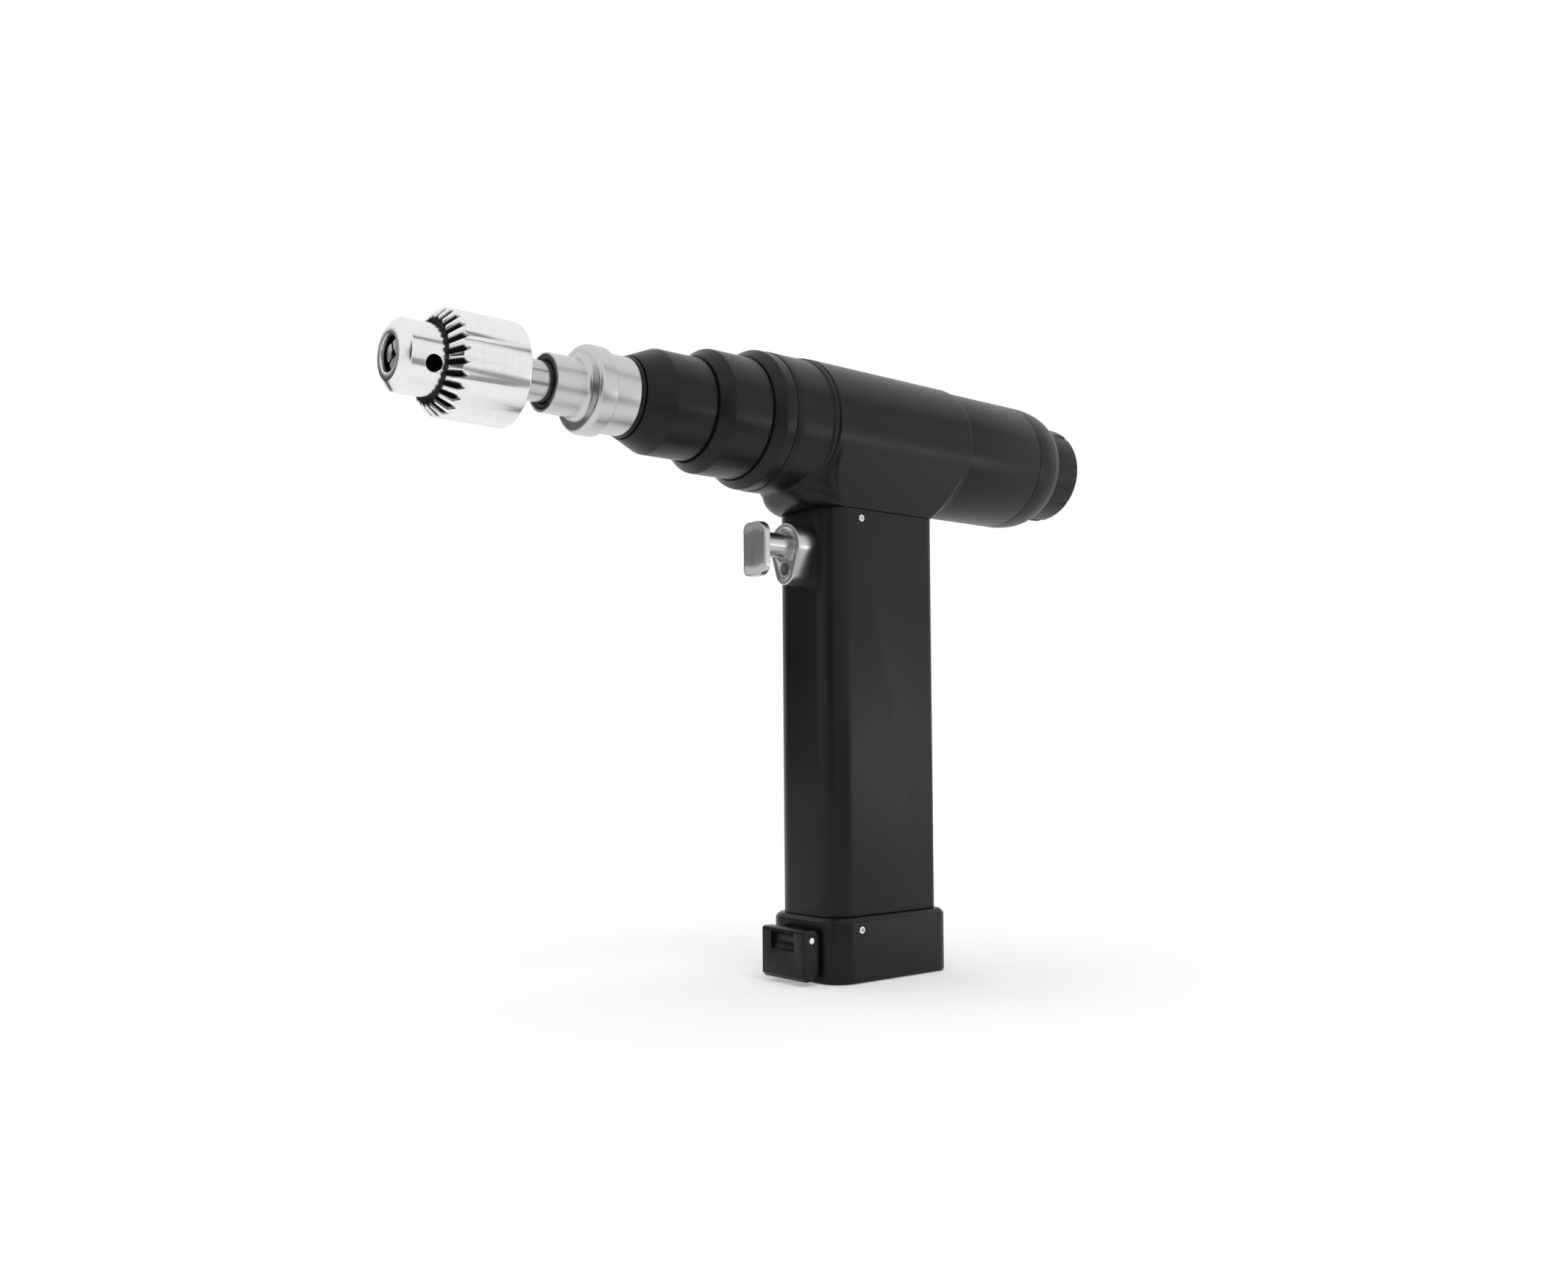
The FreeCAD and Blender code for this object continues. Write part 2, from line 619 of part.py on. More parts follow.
def release_collar():
    """Sliding collar: slim tube, swept shoulder and rounded flange over the fixed sleeve."""
    stop = FIXED_SLEEVE_FRONT - COLLAR_TRAVEL - GAP
    bore = SPINDLE_R + 0.6
    return turned([
        (COLLAR_FRONT, SEAL_R), (COLLAR_FRONT, COLLAR_TUBE_R - 0.3), (COLLAR_FRONT + 0.3, COLLAR_TUBE_R),
        (COLLAR_TUBE_REAR, COLLAR_TUBE_R), ((COLLAR_TUBE_REAR + 1.3, COLLAR_TUBE_R + 0.55),
                                            (COLLAR_TUBE_REAR + 2.0, COLLAR_TUBE_R + 2.0)),
        (COLLAR_TUBE_REAR + 2.3, COLLAR_FLANGE_R - 1.4),
        ((COLLAR_TUBE_REAR + 3.0, COLLAR_FLANGE_R - 0.35), (COLLAR_TUBE_REAR + 4.4, COLLAR_FLANGE_R)),
        (COLLAR_REAR - 1.6, COLLAR_FLANGE_R), ((COLLAR_REAR - 0.5, COLLAR_FLANGE_R - 0.3),
                                               (COLLAR_REAR, COLLAR_FLANGE_R - 0.95)),
        (COLLAR_REAR, FIXED_SLEEVE_R + RUN), (stop, FIXED_SLEEVE_R + RUN), (stop, bore),
        (COLLAR_FRONT + SEAL_DEPTH, bore), (COLLAR_FRONT + SEAL_DEPTH, SEAL_R)])


def collar_seal():
    """Lip seal in the collar's mouth, running on the spindle."""
    front = COLLAR_FRONT + 0.35
    return turned([
        (front, SPINDLE_R + 0.5), (front, SEAL_R - SEAT), (COLLAR_FRONT + SEAL_DEPTH, SEAL_R - SEAT),
        (COLLAR_FRONT + SEAL_DEPTH, SPINDLE_R + RUN), (front + 0.7, SPINDLE_R + RUN)])


def fixed_sleeve():
    """Fixed guide sleeve that the collar slides over, with the spring's pocket."""
    pocket = SPRING_POCKET_R
    return turned([
        (FIXED_SLEEVE_FRONT, pocket), (FIXED_SLEEVE_FRONT, FIXED_SLEEVE_R - 0.3),
        (FIXED_SLEEVE_FRONT + 0.3, FIXED_SLEEVE_R), (NOSE_FRONT, FIXED_SLEEVE_R),
        (NOSE_FRONT, BEARING_FRONT_R),
        (BEARING_FRONT - 0.1, BEARING_FRONT_R), (BEARING_FRONT - 0.1, SPINDLE_R + 0.4),
        (NOSE_FRONT - 0.9, SPINDLE_R + 0.4), (NOSE_FRONT - 0.9, pocket)])


def collar_spring():
    """Spring that returns the collar."""
    back = FIXED_SLEEVE_FRONT - COLLAR_TRAVEL - GAP
    return coil(back + 0.1, NOSE_FRONT - 1.0, COLLAR_SPRING_R, COLLAR_WIRE, 4.5, AXIS_Z)


def nose_cone():
    """Front cone of the drill head, with a fine groove behind its front edge."""
    pocket = NOSE_REAR - 5.4
    return turned([
        (NOSE_FRONT, BEARING_FRONT_R + SEAT), (NOSE_FRONT, NOSE_FRONT_R - 0.35),
        (NOSE_FRONT + 0.35, NOSE_FRONT_R), (NOSE_FRONT + 1.0, NOSE_FRONT_R + 0.25),
        (NOSE_FRONT + 1.0, NOSE_FRONT_R - 0.2), (NOSE_FRONT + 1.6, NOSE_FRONT_R - 0.2),
        (NOSE_FRONT + 1.6, NOSE_FRONT_R + 0.5), (NOSE_CONE_REAR - 0.6, NOSE_R - 0.25),
        ((NOSE_CONE_REAR, NOSE_R - 0.06), (NOSE_CONE_REAR + 0.8, NOSE_R)), (NOSE_REAR - 0.3, NOSE_R),
        (NOSE_REAR, NOSE_R - 0.3), (NOSE_REAR, MID_SPIGOT_R + SEAT), (pocket, MID_SPIGOT_R + SEAT),
        (pocket, SPINDLE_R + 0.5),
        (BEARING_FRONT + BEARING_W, SPINDLE_R + 0.5), (BEARING_FRONT + BEARING_W, BEARING_FRONT_R + SEAT)])


def nose_ring_mid():
    """Middle stepped ring with the rear bearing's seat."""
    return turned([
        (NOSE_REAR - 5.3, SPINDLE_R + 0.5), (NOSE_REAR - 5.3, MID_SPIGOT_R), (NOSE_REAR, MID_SPIGOT_R),
        (NOSE_REAR, NOSE_R - 0.5),
        (NOSE_REAR + 0.7, NOSE_R - 0.5), (NOSE_REAR + 0.7, MID_FRONT_R), (MID_CONE_REAR - 0.5, MID_R - 0.25),
        ((MID_CONE_REAR, MID_R - 0.06), (MID_CONE_REAR + 0.7, MID_R)), (MID_REAR, MID_R),
        (MID_REAR, REAR_SPIGOT_R + SEAT),
        (MID_REAR - 4.4, REAR_SPIGOT_R + SEAT), (MID_REAR - 4.4, BEARING_REAR_R + SEAT),
        (BEARING_REAR, BEARING_REAR_R + SEAT),
        (BEARING_REAR, SPINDLE_R + 0.5)])


def nose_ring_rear():
    """Rear stepped ring around the planet carrier and the fronts of the planets."""
    spigot = MID_REAR - 4.3
    room = planet_reach() + GAP
    return turned([
        (spigot, SHOULDER_R + 0.6), (spigot, REAR_SPIGOT_R), (MID_REAR, REAR_SPIGOT_R),
        (MID_REAR, MID_R - 0.4),
        (MID_REAR + 0.5, MID_R - 0.4), (MID_REAR + 0.5, REAR_RING_FRONT_R),
        (REAR_RING_CONE - 0.5, REAR_RING_R - 0.25),
        ((REAR_RING_CONE, REAR_RING_R - 0.06), (REAR_RING_CONE + 0.7, REAR_RING_R)),
        (HEAD_FRONT - 0.3, REAR_RING_R),
        (HEAD_FRONT, REAR_RING_R - 0.3), (HEAD_FRONT, room), (CARRIER_FRONT - GAP, room),
        (CARRIER_FRONT - GAP, SHOULDER_R + 0.6)])


def head_outer():
    """Outer form of the head: gear cylinder, bead, block and its neck down to the handle."""
    barrel = turned([
        (HEAD_FRONT, 0), (HEAD_FRONT, HEAD_R - 0.3), (HEAD_FRONT + 0.3, HEAD_R),
        (HEAD_BLOCK_FRONT - 0.6, HEAD_R),
        (HEAD_BLOCK_FRONT, HEAD_BLOCK_R), (HEAD_REAR - 0.4, HEAD_BLOCK_R), (HEAD_REAR, HEAD_BLOCK_R - 0.4),
        (HEAD_REAR, 0)])
    lean = 0.335
    sections = []
    for z, x0, x1, r0, r1 in ((HANDLE_TOP, HANDLE_FRONT, HANDLE_REAR, HANDLE_R_FRONT, HANDLE_R_REAR),
                              (HANDLE_TOP + 4.5, HANDLE_FRONT - 0.9, 27.6, 6.8, 4.0),
                              (HANDLE_TOP + 10.5, HANDLE_FRONT - 1.7, 31.4, 4.8, 3.6),
                              (HANDLE_TOP + 18.6, HANDLE_FRONT - 2.0, HEAD_REAR - 0.3, 2.6, 2.2)):
        half = HANDLE_HALF + (z - HANDLE_TOP) * lean
        sections.append(plan(x0, x1, half, r0, r1, z))
    neck = Part.makeLoft(sections, True, False)
    return barrel.fuse(neck).fuse(neck_flare())


def neck_flare():
    """Concave web that carries the gear cylinder on the front of the neck."""
    low = V(HANDLE_FRONT + 0.02, 0, HANDLE_TOP)
    tip = V(HANDLE_FRONT - 13.5, 0, AXIS_Z - HEAD_R + 0.9)
    half = HANDLE_HALF - 6.0
    sweep = Part.Arc(low, V(HANDLE_FRONT - 3.2, 0, HANDLE_TOP + 2.6), tip).toShape()
    back = V(HANDLE_FRONT + 8, 0, HANDLE_TOP)
    top = V(HANDLE_FRONT + 8, 0, AXIS_Z - HEAD_R + 6)
    over = V(HANDLE_FRONT - 13.5, 0, AXIS_Z - HEAD_R + 6)
    wire = Part.Wire([sweep, Part.makeLine(tip, over), Part.makeLine(over, top), Part.makeLine(top, back),
                      Part.makeLine(back, low)])
    web = Part.Face(wire).extrude(V(0, 2 * half, 0))
    web.translate(V(0, -half, 0))
    bound = column(HANDLE_FRONT - 20, HANDLE_FRONT + 9, half, half - 0.5, 1.0, HANDLE_TOP, AXIS_Z)
    return web.common(bound)


def head_casing():
    """Head casing bored for the motor and the ring gear, with a wire hole to the handle."""
    body = head_outer().cut(rod_x(HEAD_BORE_R, HEAD_FRONT - 1, HEAD_REAR + 1))
    hole = Part.makeCylinder(WIRE_HOLE_R, 12, V(12, 0, HANDLE_TOP - 1), V(0, 0, 1))
    body = body.cut(hole).cut(rod_x(HEAD_BORE_R, HEAD_FRONT - 1, HEAD_REAR + 1))
    return body.removeSplitter()


def motor_tube():
    """Plain tube over the rear of the motor."""
    return turned([
        (HEAD_REAR, HEAD_BORE_R), (HEAD_REAR, HEAD_R), (TUBE_REAR - 0.3, HEAD_R), (TUBE_REAR, HEAD_R - 0.3),
        (TUBE_REAR, HEAD_BORE_R)])


def rear_end_cap():
    """Domed end cap with the neck that the knob turns on."""
    plug = TUBE_REAR - 6.5
    bore = NECK_R - NECK_WALL
    return turned([
        (plug, bore), (plug, HEAD_BORE_R - SEAT), (TUBE_REAR, HEAD_BORE_R - SEAT), (TUBE_REAR, HEAD_R - 0.3),
        (TUBE_REAR + 0.3, HEAD_R), (DOME_START, HEAD_R),
        ((DOME_START + 6.8, HEAD_R - 1.05), (DOME_REAR - 0.2, KNOB_R + 0.25)), (DOME_REAR, KNOB_R - 0.1),
        (DOME_REAR, NECK_R), (KNOB_REAR - KNOB_WALL - GAP, NECK_R), (KNOB_REAR - KNOB_WALL - GAP, bore)])


def rear_knob():
    """Turning knob with axial finger notches around its rear rim."""
    bore = NECK_R + RUN
    knob = turned([
        (KNOB_FRONT, bore), (KNOB_FRONT, KNOB_R - 0.3), (KNOB_FRONT + 0.3, KNOB_R),
        (KNOB_REAR - 1.6, KNOB_R),
        ((KNOB_REAR - 0.47, KNOB_R - 0.47), (KNOB_REAR, KNOB_R - 1.6)), (KNOB_REAR, 0),
        (KNOB_REAR - KNOB_WALL, 0), (KNOB_REAR - KNOB_WALL, bore)])
    step = 360.0 / KNOB_NOTCHES
    for i in range(KNOB_NOTCHES):
        centre = at(KNOB_NOTCH_FRONT, KNOB_R + 0.6, step * i)
        knob = knob.cut(Part.makeCylinder(KNOB_NOTCH_R, 20, centre, V(1, 0, 0)))
        knob = knob.cut(Part.makeSphere(KNOB_NOTCH_R, centre))
    return knob


def motor_can():
    """Motor can with closed ends and bearing bores."""
    r = HEAD_BORE_R - SEAT
    inner = r - MOTOR_WALL
    bore = MOTOR_BEARING_R + SEAT
    return turned([
        (MOTOR_FRONT, bore), (MOTOR_FRONT, r), (MOTOR_REAR, r), (MOTOR_REAR, bore),
        (MOTOR_REAR - 4, bore), (MOTOR_REAR - 4, inner), (MOTOR_FRONT + 4, inner), (MOTOR_FRONT + 4, bore)])


def motor_stator():
    """Wound stator seated in the motor can."""
    r = HEAD_BORE_R - SEAT - MOTOR_WALL - SEAT
    wound = r - 3.0
    return turned([
        (STATOR_FRONT - 5, STATOR_BORE_R + 1), (STATOR_FRONT - 5, wound), (STATOR_FRONT, wound),
        (STATOR_FRONT, r),
        (STATOR_REAR, r), (STATOR_REAR, wound), (STATOR_REAR + 5, wound),
        (STATOR_REAR + 5, STATOR_BORE_R + 1),
        (STATOR_REAR, STATOR_BORE_R + 1), (STATOR_REAR, STATOR_BORE_R), (STATOR_FRONT, STATOR_BORE_R),
        (STATOR_FRONT, STATOR_BORE_R + 1)])


def motor_bearings():
    """Bearings in the motor can's two ends."""
    front = ring_x(SHAFT_R + RUN, MOTOR_BEARING_R, MOTOR_FRONT, MOTOR_FRONT + 4)
    rear = ring_x(SHAFT_R + RUN, MOTOR_BEARING_R, MOTOR_REAR - 4, MOTOR_REAR)
    return Part.makeCompound([front, rear])


def rotor_shaft():
    """Motor shaft, stepped down under the sun pinion."""
    return turned([
        (GEAR_FRONT, 0), (GEAR_FRONT, SHAFT_R - 0.5), (GEAR_FRONT + GEAR_WIDTH + 0.6, SHAFT_R - 0.5),
        (GEAR_FRONT + GEAR_WIDTH + 0.6, SHAFT_R), (MOTOR_REAR + 1.5, SHAFT_R), (MOTOR_REAR + 1.5, 0)])


def rotor_magnet():
    """Magnet sleeve on the motor shaft."""
    return ring_x(SHAFT_R + SEAT, MAGNET_R, STATOR_FRONT, STATOR_REAR)


def handle_inner(z0, z1, shrink=0.0):
    """Bar that fills the handle's cavity, smaller all round by shrink."""
    w = HANDLE_WALL + shrink
    return column(HANDLE_FRONT + w, HANDLE_REAR - w, HANDLE_HALF - w, HANDLE_R_FRONT - w, 1.6, z0, z1)


def handle_shell():
    """Hollow handle with its trigger seat and screw seats."""
    shell = column(HANDLE_FRONT, HANDLE_REAR, HANDLE_HALF, HANDLE_R_FRONT, HANDLE_R_REAR, HANDLE_BASE,
        HANDLE_TOP)
    shell = shell.cut(handle_inner(HANDLE_BASE - 1, HANDLE_TOP + 1))
    shell = shell.cut(egg(HANDLE_FRONT - 5, HANDLE_FRONT + ESC_SEAT, -SEAT))
    shell = shell.cut(rod_x(BUSH_R + SEAT, HANDLE_FRONT - 2, 0, STEM_Z))
    for side in (-1, 1):
        seat = Part.makeCylinder(SCREW_R + SEAT, 3, V(HANDLE_SCREW_X, side * (HANDLE_HALF - 1.5),
            HANDLE_SCREW_Z),
                                 V(0, side, 0))
        shell = shell.cut(seat)
    return shell


def handle_screws():
    """Screws that hold the handle to the head, one each side."""
    heads = [countersunk(HANDLE_SCREW_X, HANDLE_SCREW_Z, s * HANDLE_HALF, s) for s in (-1, 1)]
    return Part.makeCompound(heads)


def trigger_escutcheon():
    """Egg-shaped guide plate with an engraved inner line and a lock hole."""
    plate = egg(ESC_FRONT, HANDLE_FRONT + ESC_SEAT)
    plate = plate.makeFillet(0.5, [e for e in plate.Edges if abs(e.BoundBox.XMax - ESC_FRONT) < 0.01])
    groove = egg(ESC_FRONT - 1, ESC_FRONT + 0.45, 0.95).cut(egg(ESC_FRONT - 2, ESC_FRONT + 1, 1.3))
    plate = plate.cut(groove)
    plate = plate.cut(rod_x(BUSH_R + SEAT, ESC_FRONT - 1, 0, STEM_Z))
    return plate.cut(rod_x(LOCK_HOLE_R, ESC_FRONT - 1, HANDLE_FRONT - 1.0, LOCK_HOLE_Z))


def trigger_bush():
    """Bush that guides the trigger stem."""
    return ring_x(STEM_R + RUN, BUSH_R, ESC_FRONT + 0.25, BUSH_REAR, STEM_Z)


def trigger_stem():
    """Trigger stem with its retaining collar and tail."""
    stem = rod_x(STEM_R, PAD_REAR, BUSH_REAR + 0.1, STEM_Z)
    stem = stem.fuse(rod_x(BUSH_R - 0.2, BUSH_REAR, BUSH_REAR + 1.5, STEM_Z))
    stem = stem.fuse(rod_x(1.6, BUSH_REAR + 1.4, TAIL_REAR, STEM_Z))
    return stem.removeSplitter()


def trigger_pad():
    """Concave finger pad."""
    middle = (PAD_LOW + PAD_HIGH) / 2
    tall = (PAD_HIGH - PAD_LOW) / 2
    wire = plan(-tall, tall, PAD_HALF, 3.6, 3.6, 0)
    pad = Part.Face(wire).extrude(V(0, 0, PAD_REAR - PAD_FRONT))
    pad.rotate(V(0, 0, 0), V(0, 1, 0), 90)
    pad.translate(V(PAD_FRONT, 0, middle))
    scoop = Part.makeCylinder(PAD_SCOOP_R, 40, V(PAD_FRONT - PAD_SCOOP_R + 1.2, -20, middle), V(0, 1, 0))
    pad = pad.cut(scoop)
    rim = [e for e in pad.Edges if e.BoundBox.XMax < PAD_REAR - 0.4]
    try:
        return pad.makeFillet(0.5, rim)
    except Part.OCCError:
        return pad


def trigger_spring():
    """Spring that returns the trigger."""
    return coil(BUSH_REAR + 1.6, SWITCH_FRONT - 0.1, 3.0, TRIGGER_WIRE, 4.5, STEM_Z)


def trigger_switch():
    """Speed switch behind the trigger, held between the handle's side walls."""
    half = HANDLE_HALF - HANDLE_WALL - SEAT
    body = block(SWITCH_FRONT, SWITCH_FRONT + SWITCH_DEPTH, -half, half, SWITCH_LOW, SWITCH_HIGH)
    button = rod_x(2.0, SWITCH_FRONT - SWITCH_BUTTON, SWITCH_FRONT + 1, STEM_Z)
    return body.fuse(button).removeSplitter()


def controller_board():
    """Motor controller board across the handle, with its power stage."""
    half = HANDLE_HALF - HANDLE_WALL - SEAT
    back = BOARD_FRONT + BOARD_THICK
    board = block(BOARD_FRONT, back, -half, half, BOARD_LOW, BOARD_HIGH)
    for y in (-6.5, 0.0, 6.5):
        board = board.fuse(block(back - 0.1, back + 3.0, y - 2.4, y + 2.4, BOARD_LOW + 3.5, BOARD_LOW + 9.5))
    board = board.fuse(Part.makeCylinder(3.4, 7.0, V(back - 0.1, 0, BOARD_HIGH - 7.0), V(1, 0, 0)))
    return board.removeSplitter()


def terminal_block():
    """Battery terminal block fixed across the handle."""
    half = HANDLE_HALF - HANDLE_WALL - SEAT
    low = CASE_TOP + CONTACT_HEIGHT + GAP
    return block(HANDLE_FRONT + TERMINAL_FRONT, HANDLE_REAR - TERMINAL_FRONT, -half, half, low,
                 low + TERMINAL_HEIGHT)


def base_cap():
    """Base cap with a bevelled rim and the latch's two hinge lugs."""
    cap = column(CAP_FRONT, CAP_REAR, CAP_HALF, CAP_R_FRONT, CAP_R_REAR, 0, HANDLE_BASE)
    top_edges = [e for e in cap.Edges if abs(e.BoundBox.ZMin - HANDLE_BASE) < 0.01]
    cap = cap.makeChamfer(CAP_CHAMFER, top_edges)
    low_edges = [e for e in cap.Edges if e.BoundBox.ZMax < 0.01]
    cap = cap.makeFillet(0.7, low_edges)
    w = HANDLE_WALL + CASE_CLEAR
    pocket = column(HANDLE_FRONT + w, HANDLE_REAR - w, HANDLE_HALF - w, HANDLE_R_FRONT - w, 1.2, CAP_FLOOR,
                    HANDLE_BASE + 1)
    for side in (-1, 1):
        y0 = min(side * LUG_IN, side * LUG_OUT)
        lug = Part.makeCylinder(LUG_R, LUG_OUT - LUG_IN, V(HINGE_X, y0, HINGE_Z), V(0, 1, 0))
        lug = lug.fuse(block(HINGE_X, CAP_FRONT + 1, y0, y0 + LUG_OUT - LUG_IN, HINGE_Z - LUG_R,
            HINGE_Z + LUG_ROOT_TOP))
        cap = cap.fuse(lug)
    cap = cap.cut(Part.makeCylinder(HINGE_PIN_R + SEAT, 40, V(HINGE_X, -20, HINGE_Z), V(0, 1, 0)))
    for side in (-1, 1):
        cap = cap.cut(Part.makeCylinder(SCREW_R + SEAT, 3, V(CAP_SCREW_X, side * (CAP_HALF - 1.5),
            CAP_SCREW_Z),
                                        V(0, side, 0)))
    return cap.cut(pocket).removeSplitter()


def cap_screws():
    """Screws in the sides of the base cap."""
    heads = [countersunk(CAP_SCREW_X, CAP_SCREW_Z, s * CAP_HALF, s) for s in (-1, 1)]
    return Part.makeCompound(heads)


def battery_case():
    """Battery case standing in the base cap and reaching up the handle."""
    w = CASE_SETBACK
    case = column(HANDLE_FRONT + w, HANDLE_REAR - w, HANDLE_HALF - w, HANDLE_R_FRONT - w, 1.2,
        CAP_FLOOR, CASE_TOP)
    inner = HANDLE_HALF - w - CASE_SIDE_WALL
    end = w + CASE_END_WALL
    room = column(HANDLE_FRONT + end, HANDLE_REAR - end, inner, 3.5, 1.0, CAP_FLOOR - 1, CASE_TOP - 2.0)
    return case.cut(room)


def battery_cells():
    """Round cells in two levels, two side by side."""
    cells = []
    mid = (HANDLE_FRONT + HANDLE_REAR) / 2
    for level in range(CELL_LEVELS):
        for side in (-1, 1):
            z0 = CAP_FLOOR + CELL_NUB + level * (CELL_LENGTH + CELL_GAP)
            cells.append(Part.makeCylinder(CELL_R, CELL_LENGTH, V(mid + side * (CELL_R + 0.1), 0, z0),
                V(0, 0, 1)))
            cells.append(Part.makeCylinder(3.0, CELL_NUB, V(mid + side * (CELL_R + 0.1), 0,
                z0 - CELL_NUB), V(0, 0, 1)))
    return Part.makeCompound([cells[i].fuse(cells[i + 1]).removeSplitter() for i in range(0, len(cells), 2)])


def battery_contacts():
    """Contact blades on top of the battery case."""
    blades = [block(x - 1.6, x + 1.6, -6.0, 6.0, CASE_TOP, CASE_TOP + CONTACT_HEIGHT) for x in (-9.0,
        0.0, 9.0)]
    return Part.makeCompound(blades)


def latch_lever():
    """Latch lever: front plate, side ears round the hinge pin and a finger recess."""
    rear = CAP_FRONT - 0.5
    outline = [V(LATCH_FRONT, 0, LATCH_BASE + 1.2), V(LATCH_FRONT, 0, LATCH_TOP - 2.6)]
    arc_top = Part.Arc(outline[1], V(LATCH_FRONT + 0.76, 0, LATCH_TOP - 0.76), V(LATCH_FRONT + 2.6, 0,
        LATCH_TOP))
    r_ear = LATCH_EAR_R
    top_end = V(HINGE_X, 0, LATCH_TOP)
    ear_mid = V(HINGE_X + r_ear * math.sqrt(0.5), 0, HINGE_Z + r_ear * math.sqrt(0.5))
    ear_end = V(HINGE_X + r_ear, 0, HINGE_Z)
    arc_ear = Part.Arc(top_end, ear_mid, ear_end)
    low_rear = V(rear, 0, LATCH_BASE + 3.0)
    low_front = V(rear - 2.0, 0, LATCH_BASE)
    toe = V(LATCH_FRONT + 1.2, 0, LATCH_BASE)
    wire = Part.Wire([
        Part.makeLine(outline[0], outline[1]), arc_top.toShape(), Part.makeLine(V(LATCH_FRONT + 2.6, 0,
            LATCH_TOP),
                                                                                 top_end),
        arc_ear.toShape(), Part.makeLine(ear_end, low_rear), Part.makeLine(low_rear, low_front),
        Part.makeLine(low_front, toe), Part.makeLine(toe, outline[0])])
    lever = Part.Face(wire).extrude(V(0, 2 * LATCH_HALF, 0))
    lever.translate(V(0, -LATCH_HALF, 0))
    for side in (-1, 1):
        y0 = min(side * (LUG_IN - GAP), side * (LUG_OUT + GAP))
        wide = LUG_OUT - LUG_IN + 2 * GAP
        slot = Part.makeCylinder(LUG_R + 0.25, wide, V(HINGE_X, y0, HINGE_Z), V(0, 1, 0))
        slot = slot.fuse(block(HINGE_X, CAP_FRONT + 1, y0, y0 + wide, HINGE_Z - LUG_R - 6.5, LATCH_TOP + 1))
        lever = lever.cut(slot)
    lever = lever.cut(Part.makeCylinder(HINGE_PIN_R + RUN, 40, V(HINGE_X, -20, HINGE_Z), V(0, 1, 0)))
    scoop = Part.makeCylinder(RECESS_R, 2 * RECESS_HALF, V(LATCH_FRONT - 1.3, -RECESS_HALF,
        HINGE_Z - 0.6), V(0, 1, 0))
    return lever.cut(scoop)


def latch_pin():
    """Hinge pin of the latch lever."""
    half = LATCH_HALF + 0.1
    return Part.makeCylinder(HINGE_PIN_R, 2 * half, V(HINGE_X, -half, HINGE_Z), V(0, 1, 0))


def nodes():
    """Every sub-part by name."""
    made = {
        "chuck_body": chuck_body(), "chuck_sleeve": chuck_sleeve(), "chuck_nut": chuck_nut(),
        "output_spindle": output_spindle(), "planet_pins": planet_pins(), "sun_gear": sun_gear(),
        "ring_gear": ring_gear(), "spindle_bearings": spindle_bearings(), "release_collar": release_collar(),
        "collar_seal": collar_seal(), "fixed_sleeve": fixed_sleeve(), "collar_spring": collar_spring(),
        "nose_cone": nose_cone(), "nose_ring_mid": nose_ring_mid(), "nose_ring_rear": nose_ring_rear(),
        "head_casing": head_casing(), "motor_tube": motor_tube(), "rear_end_cap": rear_end_cap(),
        "rear_knob": rear_knob(), "motor_can": motor_can(), "motor_stator": motor_stator(),
        "motor_bearings": motor_bearings(), "rotor_shaft": rotor_shaft(), "rotor_magnet": rotor_magnet(),
        "handle_shell": handle_shell(), "handle_screws": handle_screws(),
            "trigger_escutcheon": trigger_escutcheon(),
        "trigger_bush": trigger_bush(), "trigger_stem": trigger_stem(), "trigger_pad": trigger_pad(),
        "trigger_spring": trigger_spring(), "trigger_switch": trigger_switch(),
            "controller_board": controller_board(),
        "terminal_block": terminal_block(), "base_cap": base_cap(), "cap_screws": cap_screws(),
        "battery_case": battery_case(), "battery_cells": battery_cells(),
            "battery_contacts": battery_contacts(),
        "latch_lever": latch_lever(), "latch_pin": latch_pin()}
    for i, deg in enumerate(jaw_angles()):
        made["chuck_jaw_%d" % (i + 1)] = chuck_jaw(deg)
    for i, deg in enumerate(planet_angles()):
        made["planet_gear_%d" % (i + 1)] = planet_gear(deg)
    return made


os.makedirs("parts", exist_ok=True)
for name, shape in nodes().items():
    print("%-20s solids %d valid %s volume %.1f" % (name, len(shape.Solids), shape.isValid(), shape.Volume))
    shape.exportStep("parts/%s.step" % name)
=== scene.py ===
"""Studio scene of a pistol-grip battery surgical drill with a keyed chuck."""

import logging
import math
from dataclasses import dataclass
from enum import Enum
from typing import Any, Callable, Sequence

import bmesh
import bpy
from mathutils import Matrix, Vector


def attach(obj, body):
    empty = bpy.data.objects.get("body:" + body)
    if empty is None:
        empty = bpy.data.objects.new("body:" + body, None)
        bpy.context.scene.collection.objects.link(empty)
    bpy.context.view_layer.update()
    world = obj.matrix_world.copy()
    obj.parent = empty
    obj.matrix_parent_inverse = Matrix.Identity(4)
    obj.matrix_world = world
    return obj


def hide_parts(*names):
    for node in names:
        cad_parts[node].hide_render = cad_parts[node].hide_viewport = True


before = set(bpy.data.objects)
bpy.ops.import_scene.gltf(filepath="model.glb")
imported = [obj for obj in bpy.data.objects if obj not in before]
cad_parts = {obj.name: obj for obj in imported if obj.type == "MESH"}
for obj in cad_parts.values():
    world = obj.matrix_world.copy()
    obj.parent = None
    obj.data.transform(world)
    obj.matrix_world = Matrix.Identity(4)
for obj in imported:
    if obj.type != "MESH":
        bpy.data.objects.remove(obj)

LOG = logging.getLogger("drill")
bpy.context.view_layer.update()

MM = 0.001
AXIS_Z = 171.7  # height of the drill axis, in millimetres
EDGE_SHARE = 0.46  # most of an edge that one rounded corner may use
WELD = 2e-7  # distance within which a mesh's points become one, in metres
SLIVER = 1e-7  # edges shorter than this are dissolved, in metres
